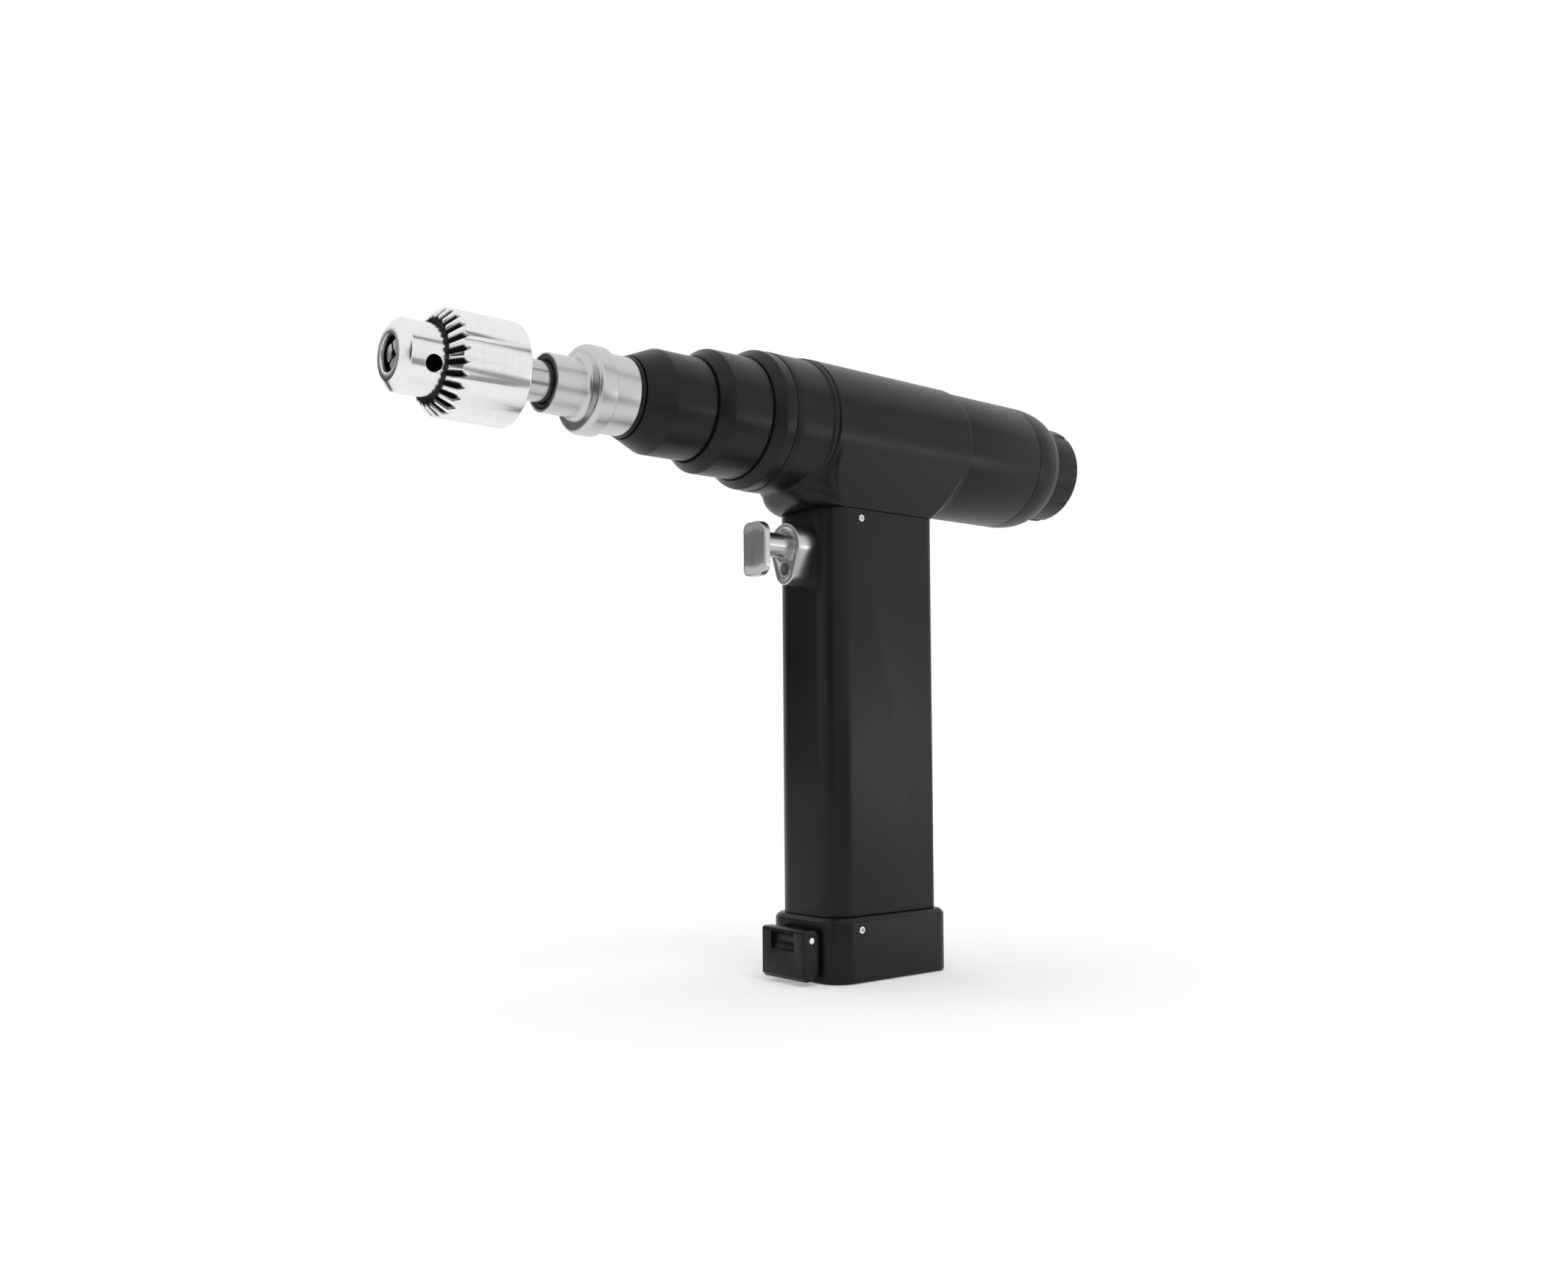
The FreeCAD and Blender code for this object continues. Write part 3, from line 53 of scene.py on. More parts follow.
RAY_END = 36.0  # how far a neck is searched for from the drill axis
RAY_STEP = 0.002  # how exactly its surface is found
WHITE = (1.0, 1.0, 1.0, 1.0)
BRIGHT = (0.86, 0.86, 0.865)
# painted shade colour that darkens the recesses of turned steel
RECESS_SHADE = (0.012, 0.012, 0.013)

Pair = tuple[float, float]
Point = tuple[float, float, float]
Corner = tuple[float, ...]


class Axis(Enum):
    """Row axis that a section is swept along."""

    X = "X"
    Y = "Y"
    Z = "Z"


class Join(Enum):
    """How two solids are combined."""

    CUT = "DIFFERENCE"
    ADD = "UNION"


def soften(corners: Sequence[Corner], steps: int = 4, closed: bool = True) -> list[Pair]:
    """Round the corners of an outline.

    Args:
        corners: Corners as (u, v) or (u, v, rounding), in millimetres.
        steps: Straight pieces in each rounded corner.
        closed: Whether the last corner joins the first.

    Returns:
        The outline's points.
    """
    points: list[Pair] = []
    count = len(corners)
    for i, (u, v, *rounding) in enumerate(corners):
        at_end = not closed and i in (0, count - 1)
        if not rounding or at_end:
            points.append((u, v))
            continue
        au, av = corners[i - 1][:2]
        bu, bv = corners[(i + 1) % count][:2]
        la = math.hypot(au - u, av - v)
        lb = math.hypot(bu - u, bv - v)
        reach = min(rounding[0], EDGE_SHARE * la, EDGE_SHARE * lb)
        start = (u + (au - u) * reach / la, v + (av - v) * reach / la)
        end = (u + (bu - u) * reach / lb, v + (bv - v) * reach / lb)
        for k in range(steps + 1):
            s = k / steps
            w0, w1, w2 = (1 - s) ** 2, 2 * s * (1 - s), s * s
            points.append((w0 * start[0] + w1 * u + w2 * end[0], w0 * start[1] + w1 * v + w2 * end[1]))
    return points


def rounded_rectangle(u0: float, u1: float, half: float, r0: float, r1: float, steps: int = 10) -> list[Pair]:
    """Rectangle with true arcs, r0 at its u0 end and r1 at its u1 end.

    Args:
        u0: Low end.
        u1: High end.
        half: Half the width.
        r0: Corner radius at the low end.
        r1: Corner radius at the high end.
        steps: Straight pieces in each corner.

    Returns:
        The outline's points.
    """
    points: list[Pair] = []
    for cu, cv, r, first in ((u1 - r1, -half + r1, r1, -90), (u1 - r1, half - r1, r1, 0),
                             (u0 + r0, half - r0, r0, 90), (u0 + r0, -half + r0, r0, 180)):
        for k in range(steps + 1):
            a = math.radians(first + 90.0 * k / steps)
            points.append((cu + r * math.cos(a), cv + r * math.sin(a)))
    return points


@dataclass
class Round:
    """Circle about a centre, in the plane across an axis."""

    axis: Axis = Axis.X
    centre: Pair = (0.0, AXIS_Z)
    segments: int = 160

    def ring(self, along: float, radius: float) -> list[Point]:
        """Points of the circle of that radius at a place along the axis."""
        cu, cv = self.centre
        ring: list[Point] = []
        for k in range(self.segments):
            a = 2 * math.pi * k / self.segments
            ring.append(place(self.axis, along, cu + radius * math.cos(a), cv + radius * math.sin(a)))
        return ring


@dataclass(frozen=True)
class Plan:
    """Rounded rectangle seen from above, symmetrical about the drill axis."""

    front: float
    rear: float
    half: float
    front_r: float
    rear_r: float

    def holds(self, x: float, y: float) -> bool:
        """Whether a point lies inside."""
        y = abs(y)
        if x < self.front or x > self.rear or y > self.half:
            return False
        if x < self.front + self.front_r and y > self.half - self.front_r:
            return math.hypot(self.front + self.front_r - x, y - self.half + self.front_r) <= self.front_r
        if x > self.rear - self.rear_r and y > self.half - self.rear_r:
            return math.hypot(x - self.rear + self.rear_r, y - self.half + self.rear_r) <= self.rear_r
        return True


@dataclass
class Outline:
    """Closed outline in the plane across an axis, which can be drawn smaller all round."""

    points: list[Pair]
    axis: Axis = Axis.Z
    dish: Callable[[float, float, float], float] | None = None

    def ring(self, along: float, inset: float) -> list[Point]:
        """Points of the outline, moved inwards by inset, at a place along the axis."""
        ring: list[Point] = []
        count = len(self.points)
        for i, (u, v) in enumerate(self.points):
            au, av = self.points[i - 1]
            bu, bv = self.points[(i + 1) % count]
            tu, tv = bu - au, bv - av
            size = math.hypot(tu, tv) or 1.0
            nu, nv = u - inset * tv / size, v + inset * tu / size
            shift = self.dish(along, nu, nv) if self.dish else 0.0
            ring.append(place(self.axis, along + shift, nu, nv))
        return ring


def place(axis: Axis, along: float, u: float, v: float) -> Point:
    """Point in the row frame from a place along an axis and two places across it."""
    if axis is Axis.X:
        return (along, u, v)
    if axis is Axis.Y:
        return (u, along, v)
    return (u, v, along)


class Piece:
    """One solid of the scene: its mesh, body and finish."""

    def __init__(self, name: str, rings: Sequence[Sequence[Point]], loop: bool = True) -> None:
        """Skin a run of rings.

        Args:
            name: The piece's name.
            rings: Rings of equal length, in millimetres.
            loop: Whether the last ring joins the first, or both ends are capped.
        """
        mesh = bpy.data.meshes.new(name)
        bm = bmesh.new()
        rows = [[bm.verts.new(Vector(p) * MM) for p in ring] for ring in rings]
        count = len(rows[0])
        last = len(rows) if loop else len(rows) - 1
        for i in range(last):
            a, b = rows[i], rows[(i + 1) % len(rows)]
            for k in range(count):
                bm.faces.new((a[k], a[(k + 1) % count], b[(k + 1) % count], b[k]))
        if not loop:
            bm.faces.new(list(reversed(rows[0])))
            bm.faces.new(rows[-1])
        bmesh.ops.remove_doubles(bm, verts=bm.verts, dist=WELD)
        bmesh.ops.dissolve_degenerate(bm, edges=bm.edges, dist=SLIVER)
        bmesh.ops.recalc_face_normals(bm, faces=bm.faces)
        bm.to_mesh(mesh)
        bm.free()
        self.obj = bpy.data.objects.new(name, mesh)
        bpy.context.scene.collection.objects.link(self.obj)

    def modified(self, kind: str, settings: dict[str, Any]) -> "Piece":
        """Put the mesh through one modifier."""
        modifier = self.obj.modifiers.new("shape", kind)
        for key, value in settings.items():
            setattr(modifier, key, value)
        graph = bpy.context.evaluated_depsgraph_get()
        mesh = bpy.data.meshes.new_from_object(self.obj.evaluated_get(graph))
        self.obj.modifiers.clear()
        old = self.obj.data
        self.obj.data = mesh
        bpy.data.meshes.remove(old)
        return self

    def discard(self) -> None:
        """Delete the piece and its mesh."""
        mesh = self.obj.data
        bpy.data.objects.remove(self.obj)
        bpy.data.meshes.remove(mesh)

    def combine(self, mode: Join, *others: "Piece") -> "Piece":
        """Combine with other pieces, which are used up, and return this piece."""
        for other in others:
            self.modified("BOOLEAN", {"operation": mode.value, "solver": "EXACT", "object": other.obj})
            other.discard()
        self.obj.data.name = self.obj.name
        return self

    def cut(self, *others: "Piece") -> "Piece":
        """Cut other pieces away."""
        return self.combine(Join.CUT, *others)

    def add(self, *others: "Piece") -> "Piece":
        """Unite with other pieces."""
        return self.combine(Join.ADD, *others)

    def moved(self, matrix: Matrix) -> "Piece":
        """Move the mesh by a matrix in metres."""
        self.obj.data.transform(matrix)
        return self

    def bevelled(self, width: float, angle: float = 40.0, segments: int = 2) -> "Piece":
        """Break the sharp edges of the mesh by width in millimetres."""
        return self.modified("BEVEL", {
            "width": width * MM, "segments": segments, "limit_method": "ANGLE",
            "angle_limit": math.radians(angle), "use_clamp_overlap": True})

    def place_on(self, body: str, nodes: Sequence[str], finish: "Finish", smooth: float = 32.0) -> "Piece":
        """Shade, finish and hang the piece on its body.

        Args:
            body: Body that it rides on.
            nodes: CAD nodes that it stands for.
            finish: Its surface.
            smooth: Edges sharper than this angle stay sharp.

        Returns:
            The piece.
        """
        mesh = self.obj.data
        mesh.polygons.foreach_set("use_smooth", [True] * len(mesh.polygons))
        mesh.set_sharp_from_angle(angle=math.radians(smooth))
        mesh.materials.clear()
        mesh.materials.append(finish.material())
        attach(self.obj, body)
        if nodes:
            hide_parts(*nodes)
        LOG.info("%s: %d faces on %s", self.obj.name, len(mesh.polygons), body)
        return self


def turned(name: str, corners: Sequence[Corner], segments: int = 160, steps: int = 4,
           centre: Pair = (0.0, AXIS_Z), axis: Axis = Axis.X) -> Piece:
    """Solid turned about an axis.

    Args:
        name: The piece's name.
        corners: Closed outline as (along, radius, rounding).
        segments: Straight pieces around the axis.
        steps: Straight pieces in each rounded corner.
        centre: Where the axis passes.
        axis: Which way it runs.

    Returns:
        The piece.
    """
    section = Round(axis, centre, segments)
    rings = [section.ring(u, max(v, 0.0)) for u, v in soften(corners, steps)]
    return Piece(name, rings)


def rod(name: str, start: Sequence[float], way: Sequence[float], radius: float, length: float,
        segments: int = 48) -> Piece:
    """Plain round bar from a point, used as a cutting tool.

    Args:
        name: The piece's name.
        start: Centre of the first end, in millimetres.
        way: Direction.
        radius: Radius.
        length: Length.
        segments: Straight pieces around it.

    Returns:
        The piece.
    """
    piece = Piece(name, [Round(Axis.Z, (0.0, 0.0), segments).ring(z, radius) for z in (0.0, length)], False)
    turn = Vector(way).normalized().to_track_quat("Z", "Y").to_matrix().to_4x4()
    return piece.moved(Matrix.Translation(Vector(start) * MM) @ turn)


def lofted(name: str, section: Outline, corners: Sequence[Corner], loop: bool, steps: int = 4) -> Piece:
    """Solid whose outline is drawn smaller or larger along its axis.

    Args:
        name: The piece's name.
        section: The outline.
        corners: Side profile as (along, inset, rounding).
        loop: Whether the profile is closed, as for a hollow shell.
        steps: Straight pieces in each rounded corner.

    Returns:
        The piece.
    """
    return Piece(name, [section.ring(u, v) for u, v in soften(corners, steps, loop)], loop)


def waisted(name: str, stations: Sequence[Pair], plan: Callable[[float], Plan | None], drop: float,
            fillet: float) -> Piece:
    """Round barrel with a neck grown out of its underside.

    Args:
        name: The piece's name.
        stations: Places along the drill axis, as (x, barrel radius).
        plan: The neck's plan by height above its foot, or None where it has none.
        drop: Height of the drill axis above the foot.
        fillet: Size of the blend between barrel and neck.

    Returns:
        The piece.
    """
    angles = [-42.0 + 0.4 * k for k in range(210)] + [42.0 + 2.0 * k for k in range(138)]
    turns = [(math.sin(math.radians(a)), math.cos(math.radians(a)), abs(a if a < 180 else a - 360) < 74.0)
             for a in angles]
    rings: list[list[Point]] = []
    for x, radius in stations:
        ring: list[Point] = []
        for sine, cosine, low_side in turns:
            def holds(r: float) -> bool:
                """Whether a point on this ray lies in the neck."""
                height = drop - r * cosine
                shape = plan(height) if height >= 0.0 else None
                return bool(shape) and shape.holds(x, r * sine)

            low, high = radius - fillet, RAY_END
            if low_side and holds(low):
                while high - low > RAY_STEP:
                    middle = (low + high) / 2
                    low, high = (middle, high) if holds(middle) else (low, middle)
            blend = max(fillet - abs(low - radius), 0.0) / fillet
            r = max(low, radius) + blend * blend * fillet / 4
            ring.append((x, r * sine, AXIS_Z - r * cosine))
        rings.append(ring)
    return Piece(name, rings, False)


def operator(operation: str, swapped: bool = False) -> Callable[["Field", Any], "Field"]:
    """Make an operator of a field, which stands second if swapped."""
    def method(self: "Field", other: Any) -> "Field":
        """Math node on the field and another value."""
        return self.graph.math(operation, *((other, self) if swapped else (self, other)))
    return method


class Field:
    """A number or colour socket that takes part in arithmetic."""

    def __init__(self, graph: "Graph", socket: Any) -> None:
        """Wrap a socket of a graph."""
        self.graph = graph
        self.socket = socket

    __add__, __radd__ = operator("ADD"), operator("ADD", True)
    __sub__, __rsub__ = operator("SUBTRACT"), operator("SUBTRACT", True)
    __mul__, __rmul__ = operator("MULTIPLY"), operator("MULTIPLY", True)
    __pow__ = operator("POWER")


class Graph:
    """Node tree of one material, world or lamp."""

    def __init__(self, tree: Any) -> None:
        """Empty a node tree and keep it."""
        self.tree = tree
        tree.nodes.clear()

    def node(self, kind: str, settings: dict[str, Any] | None = None,
             inputs: dict[Any, Any] | None = None) -> Any:
        """Make a node.

        Args:
            kind: The node's type.
            settings: Properties, set first; "stops" fills a colour ramp.
            inputs: Socket name or number to a value, a socket or a Field.

        Returns:
            The node.
        """
        node = self.tree.nodes.new(kind)
        for key, value in (settings or {}).items():
            if key == "stops":
                ramp = node.color_ramp
                while len(ramp.elements) < len(value):
                    ramp.elements.new(0.5)
                for element, (position, colour) in zip(ramp.elements, value):
                    element.position = position
                    element.color = colour
            else:
                setattr(node, key, value)
        for key, value in (inputs or {}).items():
            socket = node.inputs[key]
            if isinstance(value, Field):
                self.tree.links.new(value.socket, socket)
            elif isinstance(value, bpy.types.NodeSocket):
                self.tree.links.new(value, socket)
            else:
                socket.default_value = value
        return node

    def field(self, socket: Any) -> Field:
        """Wrap one of the tree's sockets."""
        return Field(self, socket)

    def place(self) -> Any:
        """Object coordinates of the surface."""
        return self.node("ShaderNodeTexCoord").outputs["Object"]

    def noise(self, scale: float, detail: float = 2.0, vector: Any = None, roughness: float = 0.5) -> Field:
        """Cloudy noise between 0 and 1."""
        node = self.node("ShaderNodeTexNoise", {"noise_dimensions": "3D"},
                         {"Vector": vector or self.place(), "Scale": scale, "Detail": detail,
                          "Roughness": roughness})
        return self.field(node.outputs[0])

    def about_axis(self) -> tuple[Field, Field]:
        """Place along the drill axis and distance from it, in metres."""
        split = self.node("ShaderNodeSeparateXYZ", None, {0: self.place()})
        x, y, z = (self.field(split.outputs[i]) for i in range(3))
        height = z - AXIS_Z * MM
        return x, (y * y + height * height) ** 0.5

    def math(self, operation: str, first: Any, second: Any) -> Field:
        """Math node on two values."""
        node = self.node("ShaderNodeMath", {"operation": operation}, {0: first, 1: second})
        return self.field(node.outputs[0])

    def turning(self, pitch: float, detail: float = 3.0) -> Field:
        """Fine turning lines: noise that only changes along the drill axis and with the radius."""
        x, radius = self.about_axis()
        node = self.node("ShaderNodeTexNoise", {"noise_dimensions": "1D"},
                         {"W": (x + radius) * (1.0 / (pitch * MM)), "Scale": 1.0, "Detail": detail})
        return self.field(node.outputs[0])

    def ramp(self, value: Field, low: float, high: float) -> Field:
        """Straighten a field so that low becomes 0 and high becomes 1."""
        node = self.node("ShaderNodeMapRange", {"clamp": True},
                         {"Value": value, "From Min": low, "From Max": high, "To Min": 0.0, "To Max": 1.0})
        return self.field(node.outputs[0])

    def blend(self, factor: Field, low: Any, high: Any) -> Any:
        """Mix two colours, or colour sockets, by a field."""
        low, high = (c if isinstance(c, bpy.types.NodeSocket) else (*c, 1.0) for c in (low, high))
        node = self.node("ShaderNodeMix", {"data_type": "RGBA"}, {0: factor, 6: low, 7: high})
        return node.outputs[2]

    def bump(self, height: Field, depth: float, strength: float = 1.0) -> Any:
        """Bump of that depth in metres."""
        node = self.node("ShaderNodeBump", None, {"Strength": strength, "Distance": depth, "Height": height})
        return node.outputs[0]


def blank_material(name: str) -> tuple[Any, Graph]:
    """New material with an empty node tree, and its graph."""
    material = bpy.data.materials.new(name)
    material.use_nodes = True
    return material, Graph(material.node_tree)


@dataclass(frozen=True)
class Finish:
    """Base of the surface finishes."""

    name: str
    slot: str
    colour: tuple[float, float, float]
    roughness: float
    metallic: float = 0.0
    specular: float = 0.5

    def material(self) -> Any:
        """The finish's material, made once."""
        found = bpy.data.materials.get(self.name)
        if found:
            return found
        material, graph = blank_material(self.name)
        shader = graph.node("ShaderNodeBsdfPrincipled", None, {
            "Metallic": self.metallic, "Roughness": self.roughness, "Specular IOR Level": self.specular,
            "Base Color": (*self.colour, 1.0)})
        for socket, value in self.surface(graph).items():
            graph.tree.links.new(value.socket if isinstance(value, Field) else value, shader.inputs[socket])
        graph.node("ShaderNodeOutputMaterial", None, {"Surface": shader.outputs[0]})
        return material

    def surface(self, graph: Graph) -> dict[str, Any]:
        """What varies over the surface, by shader socket."""
        return {"Roughness": self.roughness + (graph.noise(900.0) - 0.5) * 0.1}

    def tinted(self, factor: float) -> tuple[float, float, float]:
        """The finish's colour made lighter or darker."""
        return tuple(min(1.0, c * factor) for c in self.colour)


@dataclass(frozen=True)
class Anodised(Finish):
    """Satin black anodised metal: fine blasted grain, soft patches and dust specks."""

    grain: float = 0.012

    def surface(self, graph: Graph) -> dict[str, Any]:
        """Grain in the bump, patches in colour and gloss."""
        patches = graph.noise(38.0, 3.0)
        fine = graph.noise(5200.0, 2.0)
        dust = graph.ramp(graph.noise(1500.0, 4.0, None, 0.65), 0.66, 0.78)
        tone = graph.ramp(patches, 0.3, 0.7) * 0.6 + fine * 0.3 + dust * 0.25
        return {"Base Color": graph.blend(tone, self.tinted(0.8), self.tinted(1.5)),
                "Roughness": self.roughness + (patches - 0.5) * 0.10 + (fine - 0.5) * 0.08,
                "Normal": graph.bump(fine + dust * 0.3, self.grain * MM, 0.5)}


@dataclass(frozen=True)
class Turned(Finish):
    """Bright turned steel with fine lathe lines."""

    pitch: float = 0.16
    depth: float = 0.0015

    def recess(self, graph: Graph) -> Field | None:
        """Painted shade: how far a point lies below the turned surface, from 0 to 1, where that darkens it.
        """
        return None

    def surface(self, graph: Graph) -> dict[str, Any]:
        """Lathe lines in the bump and gloss, faint clouding in colour."""
        lines = graph.turning(self.pitch)
        broad = graph.turning(self.pitch * 9.0, 2.0)
        cloud = graph.noise(160.0, 3.0)
        tone = broad * 0.5 + cloud * 0.5
        colour = graph.blend(tone, self.tinted(0.92), self.tinted(1.08))
        rough = self.roughness + (lines - 0.5) * 0.10 + (cloud - 0.5) * 0.08
        # painted shade: recesses named by a subclass are darkened towards the shade colour
        painted_shade = self.recess(graph)
        if painted_shade is not None:
            colour = graph.blend(painted_shade, colour, RECESS_SHADE)
            rough = rough + painted_shade * 0.4
        return {"Base Color": colour,
                "Roughness": rough,
                "Normal": graph.bump(lines, self.depth * MM, 0.6)}


@dataclass(frozen=True)
class Toothed(Turned):
    """Turned steel whose cut recesses, below a cone and a cylinder, are darkened with painted shade."""

    cone_x: float = 0.0
    cone_r: float = 0.0
    slope: float = 1.0
    outer: float = 1.0
    shallow: float = 0.25
    deep: float = 1.0
    face_x: float = -999.0
    neck_x: float = 999.0

    def recess(self, graph: Graph) -> Field:
        """Painted shade by depth below cone and cylinder, counted less at the front face and in full behind
        the neck.
        """
        x, radius = graph.about_axis()
        skin = graph.math("MINIMUM", (x - self.cone_x * MM) * self.slope + self.cone_r * MM, self.outer * MM)
        depth = skin - radius
        face = 1.0 - graph.ramp(x, (self.face_x - 0.3) * MM, (self.face_x + 0.1) * MM)
        neck = graph.ramp(x, (self.neck_x - 0.1) * MM, self.neck_x * MM)
        return graph.ramp(depth - face * (1.8 * MM) + neck * (9.0 * MM), self.shallow * MM, self.deep * MM)


@dataclass(frozen=True)
class Blasted(Finish):
    """Satin bead-blasted steel."""

    grain: float = 0.006

    def surface(self, graph: Graph) -> dict[str, Any]:
        """Even grain with slight handling marks."""
        fine = graph.noise(7000.0, 2.0)
        cloud = graph.noise(120.0, 4.0)
        tone = fine * 0.4 + cloud * 0.6
        return {"Base Color": graph.blend(tone, self.tinted(0.9), self.tinted(1.08)),
                "Roughness": self.roughness + (cloud - 0.5) * 0.12,
                "Normal": graph.bump(fine, self.grain * MM, 0.5)}


@dataclass(frozen=True)
class Moulded(Finish):
    """Moulded plastic or rubber with a spark-eroded texture."""

    texture: float = 0.01

    def surface(self, graph: Graph) -> dict[str, Any]:
        """Texture in the bump, slight mottling in colour."""
        fine = graph.noise(3600.0, 3.0)
        cloud = graph.noise(70.0, 2.0)
        return {"Base Color": graph.blend(cloud, self.tinted(0.8), self.tinted(1.25)),
                "Roughness": self.roughness + (fine - 0.5) * 0.15,
                "Normal": graph.bump(fine, self.texture * MM, 0.6)}


@dataclass(frozen=True)
class Wound(Finish):
    """Enamelled copper wire laid in turns."""

    def surface(self, graph: Graph) -> dict[str, Any]:
        """Wires as bands along the axis."""
        bands = graph.turning(0.5, 0.0)
        return {"Base Color": graph.blend(bands, self.tinted(0.5), self.tinted(1.2)),
                "Normal": graph.bump(bands, 0.1 * MM, 0.8)}


BLACK = Anodised("black_anodised", "black_shell", (0.0052, 0.0053, 0.0057), 0.34, 0.0, 0.24)
# CHUCK and CROWN darken their cut recesses with painted shade; CHUCK also paints the ring behind the sleeve
# dark
CHUCK = Toothed("chuck_turned", "chuck_steel", BRIGHT, 0.20, 1.0, cone_x=-159.2, cone_r=6.76,
                slope=1.32, outer=9.4, shallow=0.35, deep=1.6, face_x=-156.7, neck_x=-126.4)
CROWN = Toothed("crown_turned", "chuck_steel", BRIGHT, 0.20, 1.0, cone_x=-148.0, cone_r=11.6,
                slope=0.8958, outer=14.0, shallow=0.2, deep=0.8)
SATIN = Blasted("satin_blasted", "satin_steel", (0.62, 0.62, 0.625), 0.33, 1.0)
SPINDLE = Turned("spindle_turned", "satin_steel", (0.55, 0.54, 0.53), 0.22, 1.0)
SCREW = Turned("screw_turned", "screw_steel", (0.80, 0.80, 0.81), 0.25, 1.0)
JAW = Turned("jaw_turned", "gear_steel", (0.75, 0.75, 0.76), 0.22, 1.0)
GEAR = Turned("gear_ground", "gear_steel", (0.42, 0.42, 0.44), 0.34, 1.0)
SEAL = Moulded("seal_moulded", "seal_rubber", (0.008, 0.008, 0.008), 0.28)
MAGNET = Blasted("magnet_blasted", "magnet", (0.2, 0.2, 0.21), 0.4, 1.0)
WINDING = Wound("winding_wire", "winding", (0.5, 0.2, 0.08), 0.35, 0.8)
BOARD = Moulded("circuit_laminate", "board", (0.01, 0.12, 0.05), 0.45)
PLASTIC = Moulded("plastic_moulded", "inner_plastic", (0.02, 0.02, 0.022), 0.5)
WRAP = Moulded("wrap_film", "cell_wrap", (0.05, 0.16, 0.3), 0.3)
BRASS = Blasted("brass_blasted", "contact_brass", (0.7, 0.5, 0.22), 0.3, 1.0)


@dataclass
class Chuck:
    """Keyed three-jaw chuck: body, crown-toothed sleeve and the spindle behind it."""

    front: float = -159.2
    nose_r: float = 9.4
    mouth_r: float = 4.8
    throat_r: float = 1.9
    open_r: float = 3.2
    open_rear: float = -147.5
    key_r: float = 2.25
    key_x: float = -151.0
    key_bottom: float = 4.75
    first_key: float = 199.3
    jaw_r: float = 2.45
    jaw_lean: float = 13.0
    jaw_tip: float = -157.9
    jaw_axis_r: float = 1.5
    sleeve_r: float = 14.0
    sleeve_rear: float = -125.9
    crown_front: float = -148.0
    crown_front_r: float = 11.6
    crown_rear: float = -145.6
    crown_rear_r: float = 13.75
    crown_depth: float = 1.5
    crown_tip: float = -143.4
    crown_lean: float = 13.0
    teeth: int = 26
    spindle_r: float = 5.6

    def radial(self, deg: float) -> Vector:
        """Unit vector square to the drill axis at an angle from +Y towards +Z."""
        a = math.radians(deg)
        return Vector((0.0, math.cos(a), math.sin(a)))

    def body(self) -> Piece:
        """Chuck body with its mouth, throat, jaw bores and key holes."""
        body = turned("chuck_nose", [
            (self.front, self.mouth_r, 0.25), (self.front, 6.76, 0.25), (self.front + 2.0, self.nose_r, 0.5),
            (-141.5, self.nose_r, 0.1), (-141.5, 7.0, 0.1), (-133.9, 7.0, 0.1), (-133.9, 12.95, 0.1),
            (-126.3, 12.95, 0.1), (-126.3, 6.5, 0.1), (-124.4, 6.5, 0.3), (-124.4, 3.82), (-135.0, 3.82),
            (-135.0, self.throat_r), (self.open_rear, self.throat_r), (self.open_rear, self.open_r),
            (self.front + 2.6, self.open_r), (self.front + 2.6, self.mouth_r, 0.1)])
        lean = math.radians(self.jaw_lean)
        for i in range(3):
            deg = self.first_key + 120.0 * i
            out = self.radial(deg)
            start = Vector((self.key_x, 0.0, AXIS_Z)) + out * self.key_bottom
            body.cut(rod("key_tool", start, out, self.key_r, 9.0))
            out = self.radial(deg - 180.0)
            way = Vector((math.cos(lean), 0.0, 0.0)) + out * math.sin(lean)
            tip = Vector((self.jaw_tip, 0.0, AXIS_Z)) + out * self.jaw_axis_r
            body.cut(rod("jaw_tool", tip - way * 4.0, way, self.jaw_r, 35.2))
        return body.bevelled(0.12)

    def crown_tool(self, deg: float) -> Piece:
        """One leaning V-shaped valley of the crown teeth, which runs out to a point on the sleeve."""
        low = Vector((self.crown_front, 0.0, self.crown_front_r - self.crown_depth))
        high = Vector((self.crown_tip, 0.0, self.sleeve_r))
        way = (high - low).normalized()
        out = Vector((-way.z, 0.0, way.x))
        lean = math.tan(math.radians(self.crown_lean))
        turn = Matrix.Rotation(math.radians(deg), 3, "X")
        rings: list[list[Point]] = []
        for step in (-3.0, (high - low).length + 1.0):
            aside = lean * (step - 2.0)
            ring: list[Point] = []
            for side, up in ((-0.06, 0.0), (0.06, 0.0), (1.1, 0.75), (2.6, 2.2), (-1.5, 2.2), (-0.55, 0.75)):
                p = turn @ (low + way * step + out * up + Vector((0.0, side + aside, 0.0)))
                ring.append((p.x, p.y, p.z + AXIS_Z))
            rings.append(ring)
        return Piece("crown_tool", rings, False)

    def sleeve(self) -> Piece:
        """Sleeve with crown teeth and softened ends."""
        sleeve = turned("geared_sleeve", [
            (self.crown_front, self.nose_r + 0.05), (self.crown_front, self.crown_front_r, 0.15),
            (self.crown_rear, self.crown_rear_r, 0.2), (self.crown_rear + 0.3, self.sleeve_r, 0.2),
            (self.sleeve_rear, self.sleeve_r, 0.55), (self.sleeve_rear, 13.0, 0.1), (-134.2, 13.0),
            (-134.2, 12.42), (-141.3, 12.42), (-141.3, self.nose_r + 0.05)], segments=208)
        step = 360.0 / self.teeth
        tools = [self.crown_tool(step * (i + 0.5)) for i in range(self.teeth)]
        first = tools[0]
        merge(first, tools[1:])
        return sleeve.cut(first).bevelled(0.10)

    def spindle(self) -> Piece:
        """Spindle between the chuck and the collar, with the carrier hidden in the head."""
        r = self.spindle_r
        return turned("spindle_bar", [
            (-134.5, 0.0), (-134.5, 3.8, 0.4), (-124.4, 3.8), (-124.4, r - 0.2, 0.2), (-123.6, r, 0.2),
            (-54.9, r), (-54.9, 7.6), (-46.2, 7.6), (-46.2, 14.6), (-42.8, 14.6),
            (-42.8, 0.0)])

